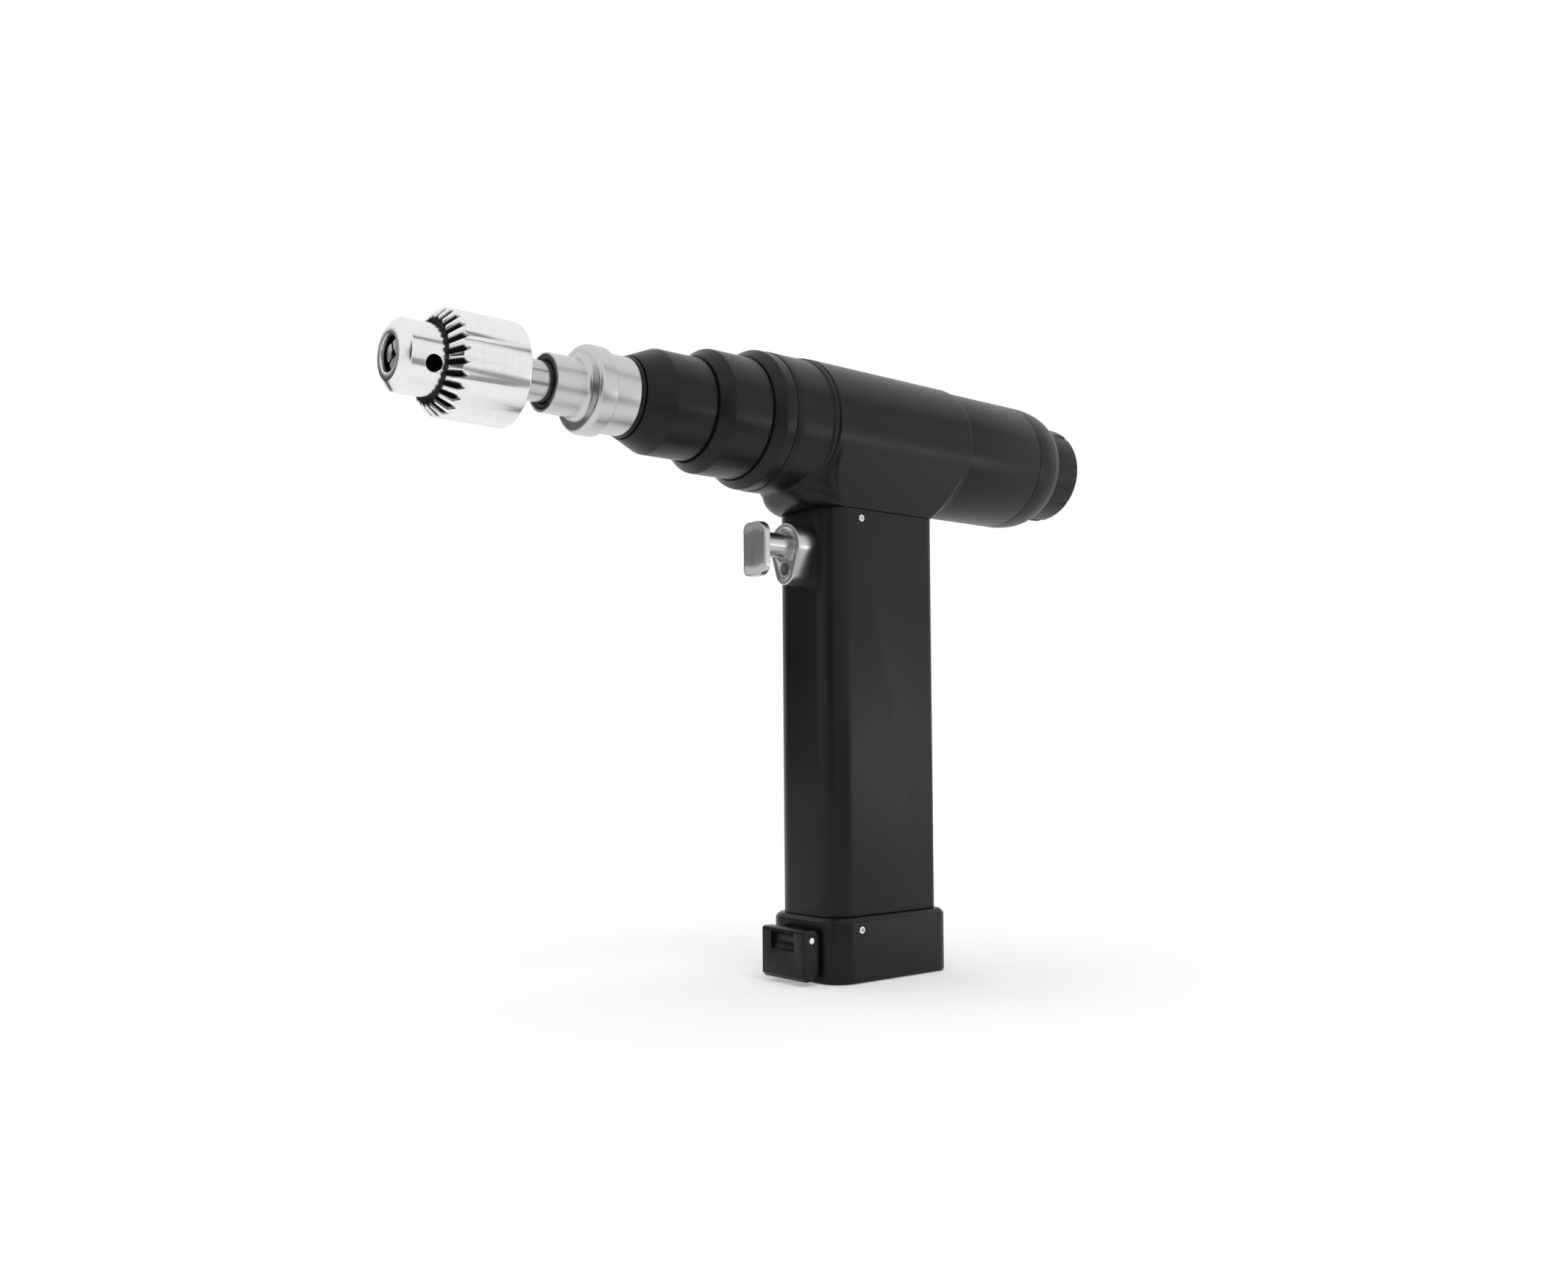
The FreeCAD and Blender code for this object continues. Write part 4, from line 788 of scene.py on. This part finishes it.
    def build(self) -> None:
        """Make and dress the chuck's pieces."""
        self.body().place_on("spindle", ["chuck_body"], CHUCK)
        self.sleeve().place_on("chuck_sleeve", ["chuck_sleeve"], CROWN)
        self.spindle().place_on("spindle", ["output_spindle"], SPINDLE)


def merge(first: Piece, others: Sequence[Piece]) -> None:
    """Gather the meshes of several tools in one, with no solid work."""
    bm = bmesh.new()
    bm.from_mesh(first.obj.data)
    for other in others:
        bm.from_mesh(other.obj.data)
        other.discard()
    bm.to_mesh(first.obj.data)
    bm.free()


@dataclass
class Collar:
    """Sliding release collar, its seal and the sleeve that it slides over."""

    front: float = -115.0
    tube_r: float = 8.1
    tube_rear: float = -106.5
    flange_r: float = 12.4
    rear: float = -98.2
    seal_r: float = 7.5

    def collar(self) -> Piece:
        """Slim tube, swept shoulder and rounded flange."""
        x = self.tube_rear
        stop = -103.7
        return turned("pull_collar", [
            (self.front, self.seal_r, 0.1), (self.front, self.tube_r, 0.35), (x + 2.1, self.tube_r, 2.0),
            (x + 2.4, self.flange_r, 1.9), (self.rear, self.flange_r, 1.6), (self.rear, 11.15, 0.1),
            (stop, 11.15), (stop, 6.2), (self.front + 2.4, 6.2), (self.front + 2.4, self.seal_r)],
            steps=8)

    def seal(self) -> Piece:
        """Lip seal in the collar's mouth."""
        x = self.front + 0.35
        return turned("lip_seal", [
            (x, 6.1, 0.2), (x, self.seal_r - 0.02, 0.2), (self.front + 2.4, self.seal_r - 0.02),
            (self.front + 2.4, 5.65), (x + 0.7, 5.65, 0.1)])

    def sleeve(self) -> Piece:
        """Fixed sleeve under the collar."""
        return turned("guide_sleeve", [
            (-99.4, 9.9), (-99.4, 11.1, 0.3), (-90.1, 11.1), (-90.1, 9.5), (-83.7, 9.5),
            (-83.7, 6.0), (-91.0, 6.0), (-91.0, 9.9)])

    def build(self) -> None:
        """Make and dress the collar's pieces."""
        self.collar().place_on("collar", ["release_collar"], SATIN)
        self.seal().place_on("collar", ["collar_seal"], SEAL)
        self.sleeve().place_on("housing", ["fixed_sleeve"], SATIN)


@dataclass
class Nose:
    """Nose cone and the two stepped rings behind it."""

    def build(self) -> None:
        """Make and dress the three rings."""
        turned("nose_front", [
            (-90.1, 9.52), (-90.1, 11.3, 0.3), (-89.1, 11.6, 0.1), (-89.1, 11.15, 0.05), (-88.5, 11.15, 0.05),
            (-88.5, 11.85, 0.1), (-80.6, 15.1, 0.5), (-66.7, 15.1, 0.35), (-66.7, 12.62), (-72.1, 12.62),
            (-72.1, 6.1), (-76.6, 6.1), (-76.6, 9.52)], steps=6).place_on(
                "housing", ["nose_cone"], BLACK)
        turned("nose_middle", [
            (-72.0, 6.1), (-72.0, 12.6), (-66.7, 12.6), (-66.7, 14.6), (-66.0, 14.6),
            (-66.0, 15.6, 0.25), (-62.4, 18.3, 0.4), (-48.6, 18.3, 0.35), (-48.6, 15.22), (-53.0, 15.22),
            (-53.0, 13.02), (-62.2, 13.02), (-62.2, 6.1)], steps=6).place_on(
                "housing", ["nose_ring_mid"], BLACK)
        turned("nose_rear", [
            (-52.9, 8.2), (-52.9, 15.2), (-48.6, 15.2), (-48.6, 17.9), (-48.1, 17.9),
            (-48.1, 18.7, 0.25), (-45.2, 21.0, 0.4), (-41.3, 21.0, 0.35), (-41.3, 17.695), (-46.5, 17.695),
            (-46.5, 8.2)], steps=6).place_on("housing", ["nose_ring_rear"], BLACK)


@dataclass
class Head:
    """Motor head: casing with its neck, motor tube, end cap and turning knob."""

    bore_r: float = 19.4
    tube_r: float = 21.2
    block_r: float = 21.8
    knob_r: float = 16.6
    seam_z: float = 146.3

    def block_plan(self, height: float) -> Plan | None:
        """Plan of the neck below the motor, which leans out until it meets the barrel."""
        if height > 18.4:
            return None
        soft = max(0.25 - height, 0.0)
        rear = min(22.8 + 1.27 * height - 0.0478 * height ** 2 + 0.00053 * height ** 3, 33.2)
        share = 1.0 - min(height, 11.5) / 11.5
        front = -15.0 - 10.0 * math.sqrt(1.0 - share * share)
        return Plan(front, rear - soft, 14.2 + 0.35 * height - soft, 2.4, 3.5 - 0.07 * height)

    def chin_plan(self, height: float) -> Plan | None:
        """Plan of the chin under the gears, which swells forward from the handle's top."""
        if not 0.03 < height < 17.0:
            return None
        soft = max(0.25 - height, 0.0)
        share = 1.0 - min(height, 7.0) / 7.0
        reach = 10.6 * (1.0 - share * share) ** 0.62
        front_r = 8.0 + 6.3 * min(height / 5.0, 1.0)
        return Plan(-22.7 - reach + soft, 0.0, 14.16 + 0.28 * height - soft, front_r, 1.0)

    def casing(self) -> Piece:
        """Casing: gear barrel with its chin, and the thicker motor barrel in one with the neck."""
        drop = AXIS_Z - self.seam_z
        r, b = self.tube_r, self.block_r
        gears = [(-41.3, r - 0.35), (-41.25, r - 0.18), (-41.12, r - 0.06), (-40.95, r), (-38.0, r),
                 (-35.5, r)]
        gears += [(-34.0 + 0.35 * k, r if k < 24 else r - 0.3) for k in range(57)] + [(-13.0, r - 0.3)]
        bead = ((-27.6, -0.5), (-27.5, 0.02), (-27.25, 0.2), (-26.9, 0.42), (-26.4, 0.54), (-25.9, 0.46),
                (-25.55, 0.24), (-25.3, 0.1), (-25.1, 0.12), (-24.95, 0.36))
        motor = [(x, r + rise) for x, rise in bead] + [(-24.75, b - 0.05)]
        motor += [(-24.5 + 0.25 * k, b) for k in range(40)] + [(-13.5, b), (19.0, b)]
        motor += [(19.5 + 0.4 * k, b) for k in range(34)] + [(33.05, b), (33.35, b - 0.1), (33.5, b - 0.4)]
        bore = rod("bore_tool", (-60.0, 0.0, AXIS_Z), (1.0, 0.0, 0.0), self.bore_r, 120.0, 192)
        chin = waisted("chin_tool", gears, self.chin_plan, drop, 2.6)
        return waisted("head_shell", motor, self.block_plan, drop, 0.05).add(chin).cut(bore)

    def end_cap(self) -> Piece:
        """Domed end cap with the knob's neck."""
        return turned("end_dome", [
            (62.5, 10.0), (62.5, 19.38), (69.0, 19.38), (69.0, self.tube_r, 0.35),
            (74.0, self.tube_r, 3.0), (79.0, 20.35, 3.0), (82.6, 18.6, 1.8), (84.0, self.knob_r - 0.1, 0.3),
            (84.0, 12.5), (93.2, 12.5, 0.3), (93.2, 10.0)], steps=8)

    def knob(self) -> Piece:
        """Turning knob with eight finger notches."""
        knob = turned("turn_knob", [
            (84.4, 12.55), (84.4, self.knob_r, 0.4), (96.2, self.knob_r, 1.9), (96.2, 0.0),
            (93.5, 0.0), (93.5, 12.55)], steps=8)
        for i in range(8):
            a = math.radians(45.0 * i)
            centre = (math.cos(a) * (self.knob_r + 0.95), AXIS_Z + math.sin(a) * (self.knob_r + 0.95))
            knob.cut(turned("notch_tool", [(88.9, 0.0), (88.9, 1.6, 1.4), (100.0, 1.6), (100.0, 0.0)],
                            32, 6, centre))
        return knob.bevelled(0.18, 30.0)

    def build(self) -> None:
        """Make and dress the head's pieces."""
        self.casing().place_on("housing", ["head_casing"], BLACK, 26.0)
        turned("motor_sleeve", [
            (33.5, self.bore_r), (33.5, self.tube_r, 0.25), (69.0, self.tube_r, 0.35),
            (69.0, self.bore_r)], segments=192).place_on("housing", ["motor_tube"], BLACK)
        self.end_cap().place_on("housing", ["rear_end_cap"], BLACK)
        self.knob().place_on("knob", ["rear_knob"], BLACK)


def hex_screw(name: str, x: float, z: float, y: float, side: int) -> Piece:
    """Small socket screw let into a side face.

    Args:
        name: The piece's name.
        x: Place along X.
        z: Height.
        y: The face that it is let into.
        side: -1 or 1, the way it faces.

    Returns:
        The piece.
    """
    inner = y - side * 1.5
    outer = y + side * 0.1
    corners = [(inner, 0.0), (inner, 1.15), (outer, 1.15, 0.25), (outer, 0.0)]
    head = turned(name, corners, 40, 4, (x, z), Axis.Y)
    start = Vector((x, y - side * 0.6, z))
    return head.cut(rod("key_tool", start, (0.0, side, 0.0), 0.66, 3.0, 6)).bevelled(0.04)


def screw_hole(spot: Pair, half: float, side: int) -> Piece:
    """Hole for a screw in the side face at half the width."""
    x, z = spot
    return rod("screw_tool", (x, side * (half - 1.5), z), (0.0, side, 0.0), 1.3, 5.0)


def screw_pair(name: str, spot: Pair, half: float, body: str, node: str) -> None:
    """Dress a body with the near and far screw that one CAD node stands for."""
    for tag, side, nodes in (("near", -1, [node]), ("far", 1, [])):
        screw = hex_screw("%s_%s" % (name, tag), *spot, side * half, side)
        screw.place_on(body, nodes, SCREW)


@dataclass
class Handle:
    """Handle shell with its screws."""

    front: float = -22.7
    rear: float = 22.8
    half: float = 14.2
    base: float = 20.0
    top: float = 146.3
    wall: float = 2.6
    screw_spot: Pair = (-9.8, 143.5)

    def shell(self, trigger: "Trigger") -> Piece:
        """Hollow handle with the trigger's seat."""
        plan = Outline(rounded_rectangle(self.front, self.rear, self.half, 8.0, 3.5, 14), Axis.Z)
        shell = lofted("grip_shell", plan, [
            (self.base, 0.0, 0.3), (self.top, 0.0, 0.25), (self.top, self.wall),
            (self.base, self.wall, 0.3)], True)
        seat = Outline(trigger.egg(-0.02), Axis.X)
        shell.cut(lofted("seat_tool", seat, [(-30.0, 0.0), (-21.5, 0.0)], False))
        shell.cut(rod("bush_tool", (-30.0, 0.0, trigger.stem_z), (1.0, 0.0, 0.0), 5.12, 20.0))
        for side in (-1, 1):
            shell.cut(screw_hole(self.screw_spot, self.half, side))
        return shell

    def build(self, trigger: "Trigger") -> None:
        """Make and dress the handle's pieces."""
        self.shell(trigger).place_on("housing", ["handle_shell"], BLACK)
        screw_pair("grip_screw", self.screw_spot, self.half, "housing", "handle_screws")


@dataclass
class Trigger:
    """Push trigger: guide plate, bush, stem and finger pad."""

    big_r: float = 6.9
    big_z: float = 135.0
    small_r: float = 4.4
    small_z: float = 127.0
    stem_z: float = 134.6
    stem_r: float = 3.8
    plate_front: float = -29.5
    pad_front: float = -42.4
    pad_rear: float = -39.5

    def egg(self, shrink: float = 0.0, steps: int = 28) -> list[Pair]:
        """Outline of the guide plate: a large round over a small one."""
        big = self.big_r - shrink
        small = self.small_r - shrink
        tilt = math.asin((big - small) / (self.big_z - self.small_z))
        points: list[Pair] = []
        for k in range(steps + 1):
            a = -tilt + (math.pi + 2 * tilt) * k / steps
            points.append((big * math.cos(a), self.big_z + big * math.sin(a)))
        for k in range(steps + 1):
            a = math.pi + tilt + (math.pi - 2 * tilt) * k / steps
            points.append((small * math.cos(a), self.small_z + small * math.sin(a)))
        return points

    def plate(self) -> Piece:
        """Guide plate with an engraved line, the bush's hole and the lock hole."""
        x = self.plate_front
        plate = lofted("guide_plate", Outline(self.egg(), Axis.X), [
            (x, 0.9), (x, 0.0, 0.55), (-21.5, 0.0)], False)
        line = lofted("line_tool", Outline(self.egg(), Axis.X), [
            (x - 1.0, 0.95), (x + 0.4, 0.95), (x + 0.4, 1.3), (x - 1.0, 1.3)], True)
        forward = Vector((1.0, 0.0, 0.0))
        plate.cut(line)
        plate.cut(rod("bush_tool", (x - 3.0, 0.0, self.stem_z), forward, 5.12, 30.0, 96))
        plate.cut(rod("lock_tool", (x - 3.0, 0.0, 127.5), forward, 2.05, 8.8, 64))
        return plate.bevelled(0.08)

    def dish(self, along: float, y: float, z: float) -> float:
        """Set-back of the pad's front face, deepest at its middle."""
        share = (self.pad_rear - along) / (self.pad_rear - self.pad_front)
        high = (z - 132.7) / 8.3
        return 1.25 * max(0.0, 1.0 - high * high) * max(0.0, min(1.0, share))

    def pad(self) -> Piece:
        """Finger pad, hollowed from top to bottom."""
        flat = [(v, 132.7 + u) for u, v in rounded_rectangle(-8.3, 8.3, 5.4, 3.6, 3.6)]
        outline = Outline(list(reversed(flat)), Axis.X, self.dish)
        return lofted("finger_pad", outline, [
            (self.pad_rear, 3.0), (self.pad_rear, 0.0, 0.5), (self.pad_front, 0.0, 0.9),
            (self.pad_front, 1.2), (self.pad_front, 2.2), (self.pad_front, 3.4)], False, 6)

    def build(self) -> None:
        """Make and dress the trigger's pieces."""
        self.plate().place_on("housing", ["trigger_escutcheon"], SATIN)
        centre = (0.0, self.stem_z)
        turned("stem_bush", [
            (-29.3, 3.85, 0.15), (-29.3, 5.1, 0.2), (-19.8, 5.1), (-19.8, 3.85)], 96, 4, centre).place_on(
                "housing", ["trigger_bush"], SATIN)
        turned("trigger_bar", [
            (self.pad_rear, 0.0), (self.pad_rear, self.stem_r), (-19.8, self.stem_r), (-19.8, 4.9, 0.2),
            (-18.3, 4.9, 0.2), (-18.3, 1.6), (-15.8, 1.6, 0.3), (-15.8, 0.0)], 96, 4, centre).place_on(
                "trigger", ["trigger_stem"], SATIN)
        self.pad().place_on("trigger", ["trigger_pad"], SATIN, 40.0)


@dataclass
class Base:
    """Base cap with its screws, and the latch lever on its hinge pin."""

    front: float = -24.5
    rear: float = 25.5
    half: float = 16.6
    top: float = 20.0
    hinge_x: float = -28.1
    hinge_z: float = 13.5
    pin_r: float = 1.05
    screw_spot: Pair = (-13.5, 16.2)

    def cap(self) -> Piece:
        """Cap with a bevelled rim, a battery pocket and two hinge lugs."""
        plan = Outline(rounded_rectangle(self.front, self.rear, self.half, 8.0, 5.0, 14), Axis.Z)
        cap = lofted("foot_cap", plan, [
            (0.0, 5.0), (0.0, 0.0, 0.8), (self.top - 1.3, 0.0, 0.3), (self.top, 1.3, 0.3), (self.top, 3.0)],
            False)
        pocket = Outline(rounded_rectangle(-19.65, 19.75, 11.15, 4.95, 1.2), Axis.Z)
        cap.cut(lofted("pocket_tool", pocket, [(2.5, 0.0), (self.top + 2.0, 0.0)], False))
        for side in (-1, 1):
            y0 = 5.9 if side > 0 else -7.5
            cheek = [(self.front + 1.0, self.hinge_z - 2.1), (self.front + 1.0, self.hinge_z + 0.45)]
            cheek += [(self.hinge_x + 2.1 * math.cos(a), self.hinge_z + 2.1 * math.sin(a))
                      for a in [math.radians(12.4 + 257.6 * k / 24) for k in range(25)]]
            lug = lofted("lug_tool", Outline(cheek, Axis.Y), [(y0, 0.0), (y0 + 1.6, 0.0)], False)
            cap.add(lug)
            cap.cut(screw_hole(self.screw_spot, self.half, side))
        return cap

    def lever(self) -> Piece:
        """Latch lever with ears round the pin and a finger recess."""
        x = self.hinge_x
        z = self.hinge_z
        shape = [(-31.6, 2.4), (-31.6, 14.2)]
        shape += soften([(-31.6, 14.2), (-31.6, 16.8, 2.6), (x, 16.8)], 6, False)[1:-1]
        shape += [(x + 3.3 * math.sin(a), z + 3.3 * math.cos(a))
                  for a in [math.pi / 2 * k / 10 for k in range(11)]]
        shape += [(-25.0, 4.2), (-27.0, 1.2), (-30.4, 1.2)]
        outline = Outline(list(reversed(shape)), Axis.Y)
        lever = lofted("latch_plate", outline, [
            (-9.8, 0.9), (-9.8, 0.0, 0.5), (9.8, 0.0, 0.5), (9.8, 0.9)], False)
        for y0 in (5.6, -7.8):
            slot = [(x + 2.35 * math.cos(a), z + 2.35 * math.sin(a))
                    for a in [math.pi / 2 + math.pi * k / 12 for k in range(13)]]
            slot += [(x, z - 8.6), (self.front + 1.0, z - 8.6), (self.front + 1.0, 18.0), (x, 18.0)]
            lever.cut(lofted("slot_tool", Outline(slot, Axis.Y), [(y0, 0.0), (y0 + 2.2, 0.0)], False))
        scoop = rod("scoop_tool", (-32.9, -5.4, z - 0.6), (0.0, 1.0, 0.0), 3.1, 10.8, 64)
        lever.cut(scoop)
        for start, way in ((-12.0, 1.0), (12.0, -1.0)):
            lever.cut(rod("pin_tool", (x, start, z), (0.0, way, 0.0), self.pin_r + 0.05, 5.0))
        return lever.bevelled(0.15)

    def build(self) -> None:
        """Make and dress the base's pieces."""
        self.cap().place_on("battery", ["base_cap"], BLACK)
        screw_pair("cap_screw", self.screw_spot, self.half, "battery", "cap_screws")
        self.lever().place_on("latch", ["latch_lever"], BLACK)
        turned("latch_axle", [
            (-9.9, 0.0), (-9.9, self.pin_r, 0.2), (9.9, self.pin_r, 0.2), (9.9, 0.0)], 40, 4,
            (self.hinge_x, self.hinge_z), Axis.Y).place_on("battery", ["latch_pin"], SCREW)


@dataclass
class Inside:
    """Finishes of the pieces inside, which keep their CAD form."""

    jaws: str = "chuck_jaw_1 chuck_jaw_2 chuck_jaw_3"
    ground: str = ("chuck_nut planet_gear_1 planet_gear_2 planet_gear_3 planet_pins sun_gear ring_gear "
                   "rotor_shaft spindle_bearings motor_bearings collar_spring trigger_spring motor_can")
    moulded: str = "trigger_switch terminal_block battery_case"

    def dress(self, names: str, finish: Finish) -> None:
        """Give the named CAD nodes a finish."""
        for name in names.split():
            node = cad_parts[name]
            if node.material_slots:
                for slot in node.material_slots:
                    slot.material = finish.material()
            else:
                node.data.materials.append(finish.material())
            LOG.info("%s: dressed in %s", name, finish.name)

    def build(self) -> None:
        """Dress every CAD node that is kept."""
        for names, finish in ((self.jaws, JAW), (self.ground, GEAR), ("rotor_magnet", MAGNET),
                              ("motor_stator", WINDING), ("controller_board", BOARD), (self.moulded, PLASTIC),
                              ("battery_cells", WRAP), ("battery_contacts", BRASS)):
            self.dress(names, finish)


@dataclass
class Camera:
    """Camera at the photograph's viewpoint, lengths in millimetres and angles in degrees."""

    place: Point = (-300.4, -318.5, 72.1)
    yaw: float = 39.21
    pitch: float = 1.722
    roll: float = -0.431
    lens: float = 31.06
    shift: Pair = (0.01666, 0.0439)

    def build(self) -> None:
        """Make the camera and use it."""
        yaw, pitch, roll = (math.radians(a) for a in (self.yaw, self.pitch, self.roll))
        ahead = Vector((math.sin(yaw) * math.cos(pitch), math.cos(yaw) * math.cos(pitch), math.sin(pitch)))
        level = Vector((math.cos(yaw), -math.sin(yaw), 0.0))
        above = level.cross(ahead)
        right = level * math.cos(roll) + above * math.sin(roll)
        up = above * math.cos(roll) - level * math.sin(roll)
        turn = Matrix((right, up, -ahead)).transposed().to_4x4()
        data = bpy.data.cameras.new("photo_camera")
        data.sensor_width = 36.0
        data.lens = self.lens
        data.shift_x, data.shift_y = self.shift
        data.clip_start = 0.01
        camera = bpy.data.objects.new("photo_camera", data)
        camera.matrix_world = Matrix.Translation(Vector(self.place) * MM) @ turn
        bpy.context.scene.collection.objects.link(camera)
        bpy.context.scene.camera = camera


@dataclass
class Studio:
    """White studio: floor, soft lamps, dark cards for the metal to reflect, and the world."""

    def hang(self, obj: Any, x: float, angle: float, distance: float) -> None:
        """Hang an object beside the drill, facing its axis, with its width along the axis.

        Args:
            obj: A lamp or a card.
            x: Place along the drill axis, in metres.
            angle: Angle about the axis, from the camera's side upwards, in degrees.
            distance: Distance from the axis, in metres.
        """
        a = math.radians(angle)
        outward = Vector((0.0, -math.cos(a), math.sin(a)))
        along = Vector((1.0, 0.0, 0.0))
        turn = Matrix((along, outward.cross(along), outward)).transposed().to_4x4()
        centre = Vector((x, 0.0, AXIS_Z * MM)) + outward * distance
        obj.matrix_world = Matrix.Translation(centre) @ turn
        bpy.context.scene.collection.objects.link(obj)

    def lamp(self, name: str, size: Pair, power: float, mirrored: bool) -> Any:
        """Soft rectangular lamp.

        Args:
            name: Its name.
            size: Width and height in metres.
            power: Watts.
            mirrored: Whether shiny surfaces reflect it.

        Returns:
            The lamp, not yet hung.
        """
        data = bpy.data.lights.new(name, "AREA")
        data.shape = "RECTANGLE"
        data.size, data.size_y = size
        data.energy = power
        lamp = bpy.data.objects.new(name, data)
        lamp.visible_glossy = mirrored
        return lamp

    def sheet(self, name: str, size: Pair, material: Any) -> Any:
        """Flat rectangle of the studio, face up."""
        mesh = bpy.data.meshes.new(name)
        w, h = size[0] / 2, size[1] / 2
        mesh.from_pydata([(-w, -h, 0), (w, -h, 0), (w, h, 0), (-w, h, 0)], [], [(0, 1, 2, 3)])
        mesh.materials.append(material)
        sheet = bpy.data.objects.new(name, mesh)
        return sheet

    def card(self, name: str, size: Pair, tone: float) -> Any:
        """Card that only reflections see.

        Args:
            name: Its name.
            size: Width and height in metres.
            tone: Its grey level.

        Returns:
            The card, not yet hung.
        """
        material, graph = blank_material(name)
        shader = graph.node("ShaderNodeEmission", None, {"Color": (tone, tone, tone, 1.0)})
        graph.node("ShaderNodeOutputMaterial", None, {"Surface": shader.outputs[0]})
        card = self.sheet(name, size, material)
        card.visible_camera = False
        card.visible_diffuse = False
        card.visible_shadow = False
        return card

    def floor(self) -> None:
        """Pale floor that keeps the shadow near the drill and turns plain white further out."""
        material, graph = blank_material("white_floor")
        grain = graph.noise(400.0, 2.0)
        pale = graph.blend(grain, (0.9, 0.9, 0.9), (0.93, 0.93, 0.93))
        diffuse = graph.node("ShaderNodeBsdfDiffuse", None, {"Color": pale})
        glow = graph.node("ShaderNodeEmission", None, {"Color": WHITE, "Strength": 1.0})
        length = graph.node("ShaderNodeVectorMath", {"operation": "LENGTH"}, {0: graph.place()})
        far = graph.ramp(graph.field(length.outputs["Value"]), 0.03, 0.16)
        rays = graph.node("ShaderNodeLightPath")
        seen = graph.field(rays.outputs["Is Camera Ray"]) + graph.field(rays.outputs["Is Glossy Ray"]) * 0.8
        factor = (0.35 + far * 0.65) * seen
        mix = graph.node("ShaderNodeMixShader", None, {0: factor, 1: diffuse.outputs[0], 2: glow.outputs[0]})
        graph.node("ShaderNodeOutputMaterial", None, {"Surface": mix.outputs[0]})
        floor = self.sheet("floor", (12.0, 12.0), material)
        floor.location.z = -0.0002
        bpy.context.scene.collection.objects.link(floor)

    def world(self) -> None:
        """Pale world, plain white to the camera."""
        world = bpy.data.worlds.new("studio")
        bpy.context.scene.world = world
        world.use_nodes = True
        graph = Graph(world.node_tree)
        rays = graph.node("ShaderNodeLightPath")
        seen = graph.field(rays.outputs["Is Camera Ray"]) + graph.field(rays.outputs["Is Glossy Ray"]) * 0.92
        dim = graph.node("ShaderNodeBackground", None, {"Color": WHITE, "Strength": 0.35})
        white = graph.node("ShaderNodeBackground", None, {"Color": WHITE, "Strength": 1.0})
        mix = graph.node("ShaderNodeMixShader", None, {0: seen, 1: dim.outputs[0], 2: white.outputs[0]})
        graph.node("ShaderNodeOutputWorld", None, {"Surface": mix.outputs[0]})

    def build(self) -> None:
        """Make the studio."""
        bpy.context.scene.view_settings.view_transform = "Standard"
        self.world()
        self.floor()
        self.hang(self.lamp("key_lamp", (0.9, 0.5), 5.0, False), -0.3, 50.0, 0.9)
        self.hang(self.lamp("top_lamp", (0.9, 0.5), 4.0, False), 0.1, 95.0, 0.8)
        self.hang(self.lamp("back_lamp", (0.9, 0.6), 2.4, False), -0.2, 165.0, 0.9)
        self.hang(self.lamp("streak_lamp", (0.20, 0.035), 0.35, True), 0.50, -13.0, 0.6)
        self.hang(self.card("streak_card", (0.9, 0.085), 0.0), 0.40, 47.0, 0.6)
        self.hang(self.card("band_card", (0.40, 0.12), 0.28), 0.03, -27.0, 0.30)
        self.hang(self.card("viewer_card", (1.2, 0.5), 0.02), -0.92, 0.0, 0.35)
        self.hang(self.card("front_card", (0.7, 0.4), 0.04), -0.52, 180.0, 0.60)


def main() -> None:
    """Build the drill and its studio."""
    logging.basicConfig(level=logging.INFO, format="%(name)s %(message)s")
    Camera().build()
    trigger = Trigger()
    Chuck().build()
    Collar().build()
    Nose().build()
    Head().build()
    Handle().build(trigger)
    trigger.build()
    Base().build()
    Inside().build()
    Studio().build()


if __name__ == "__main__":
    main()
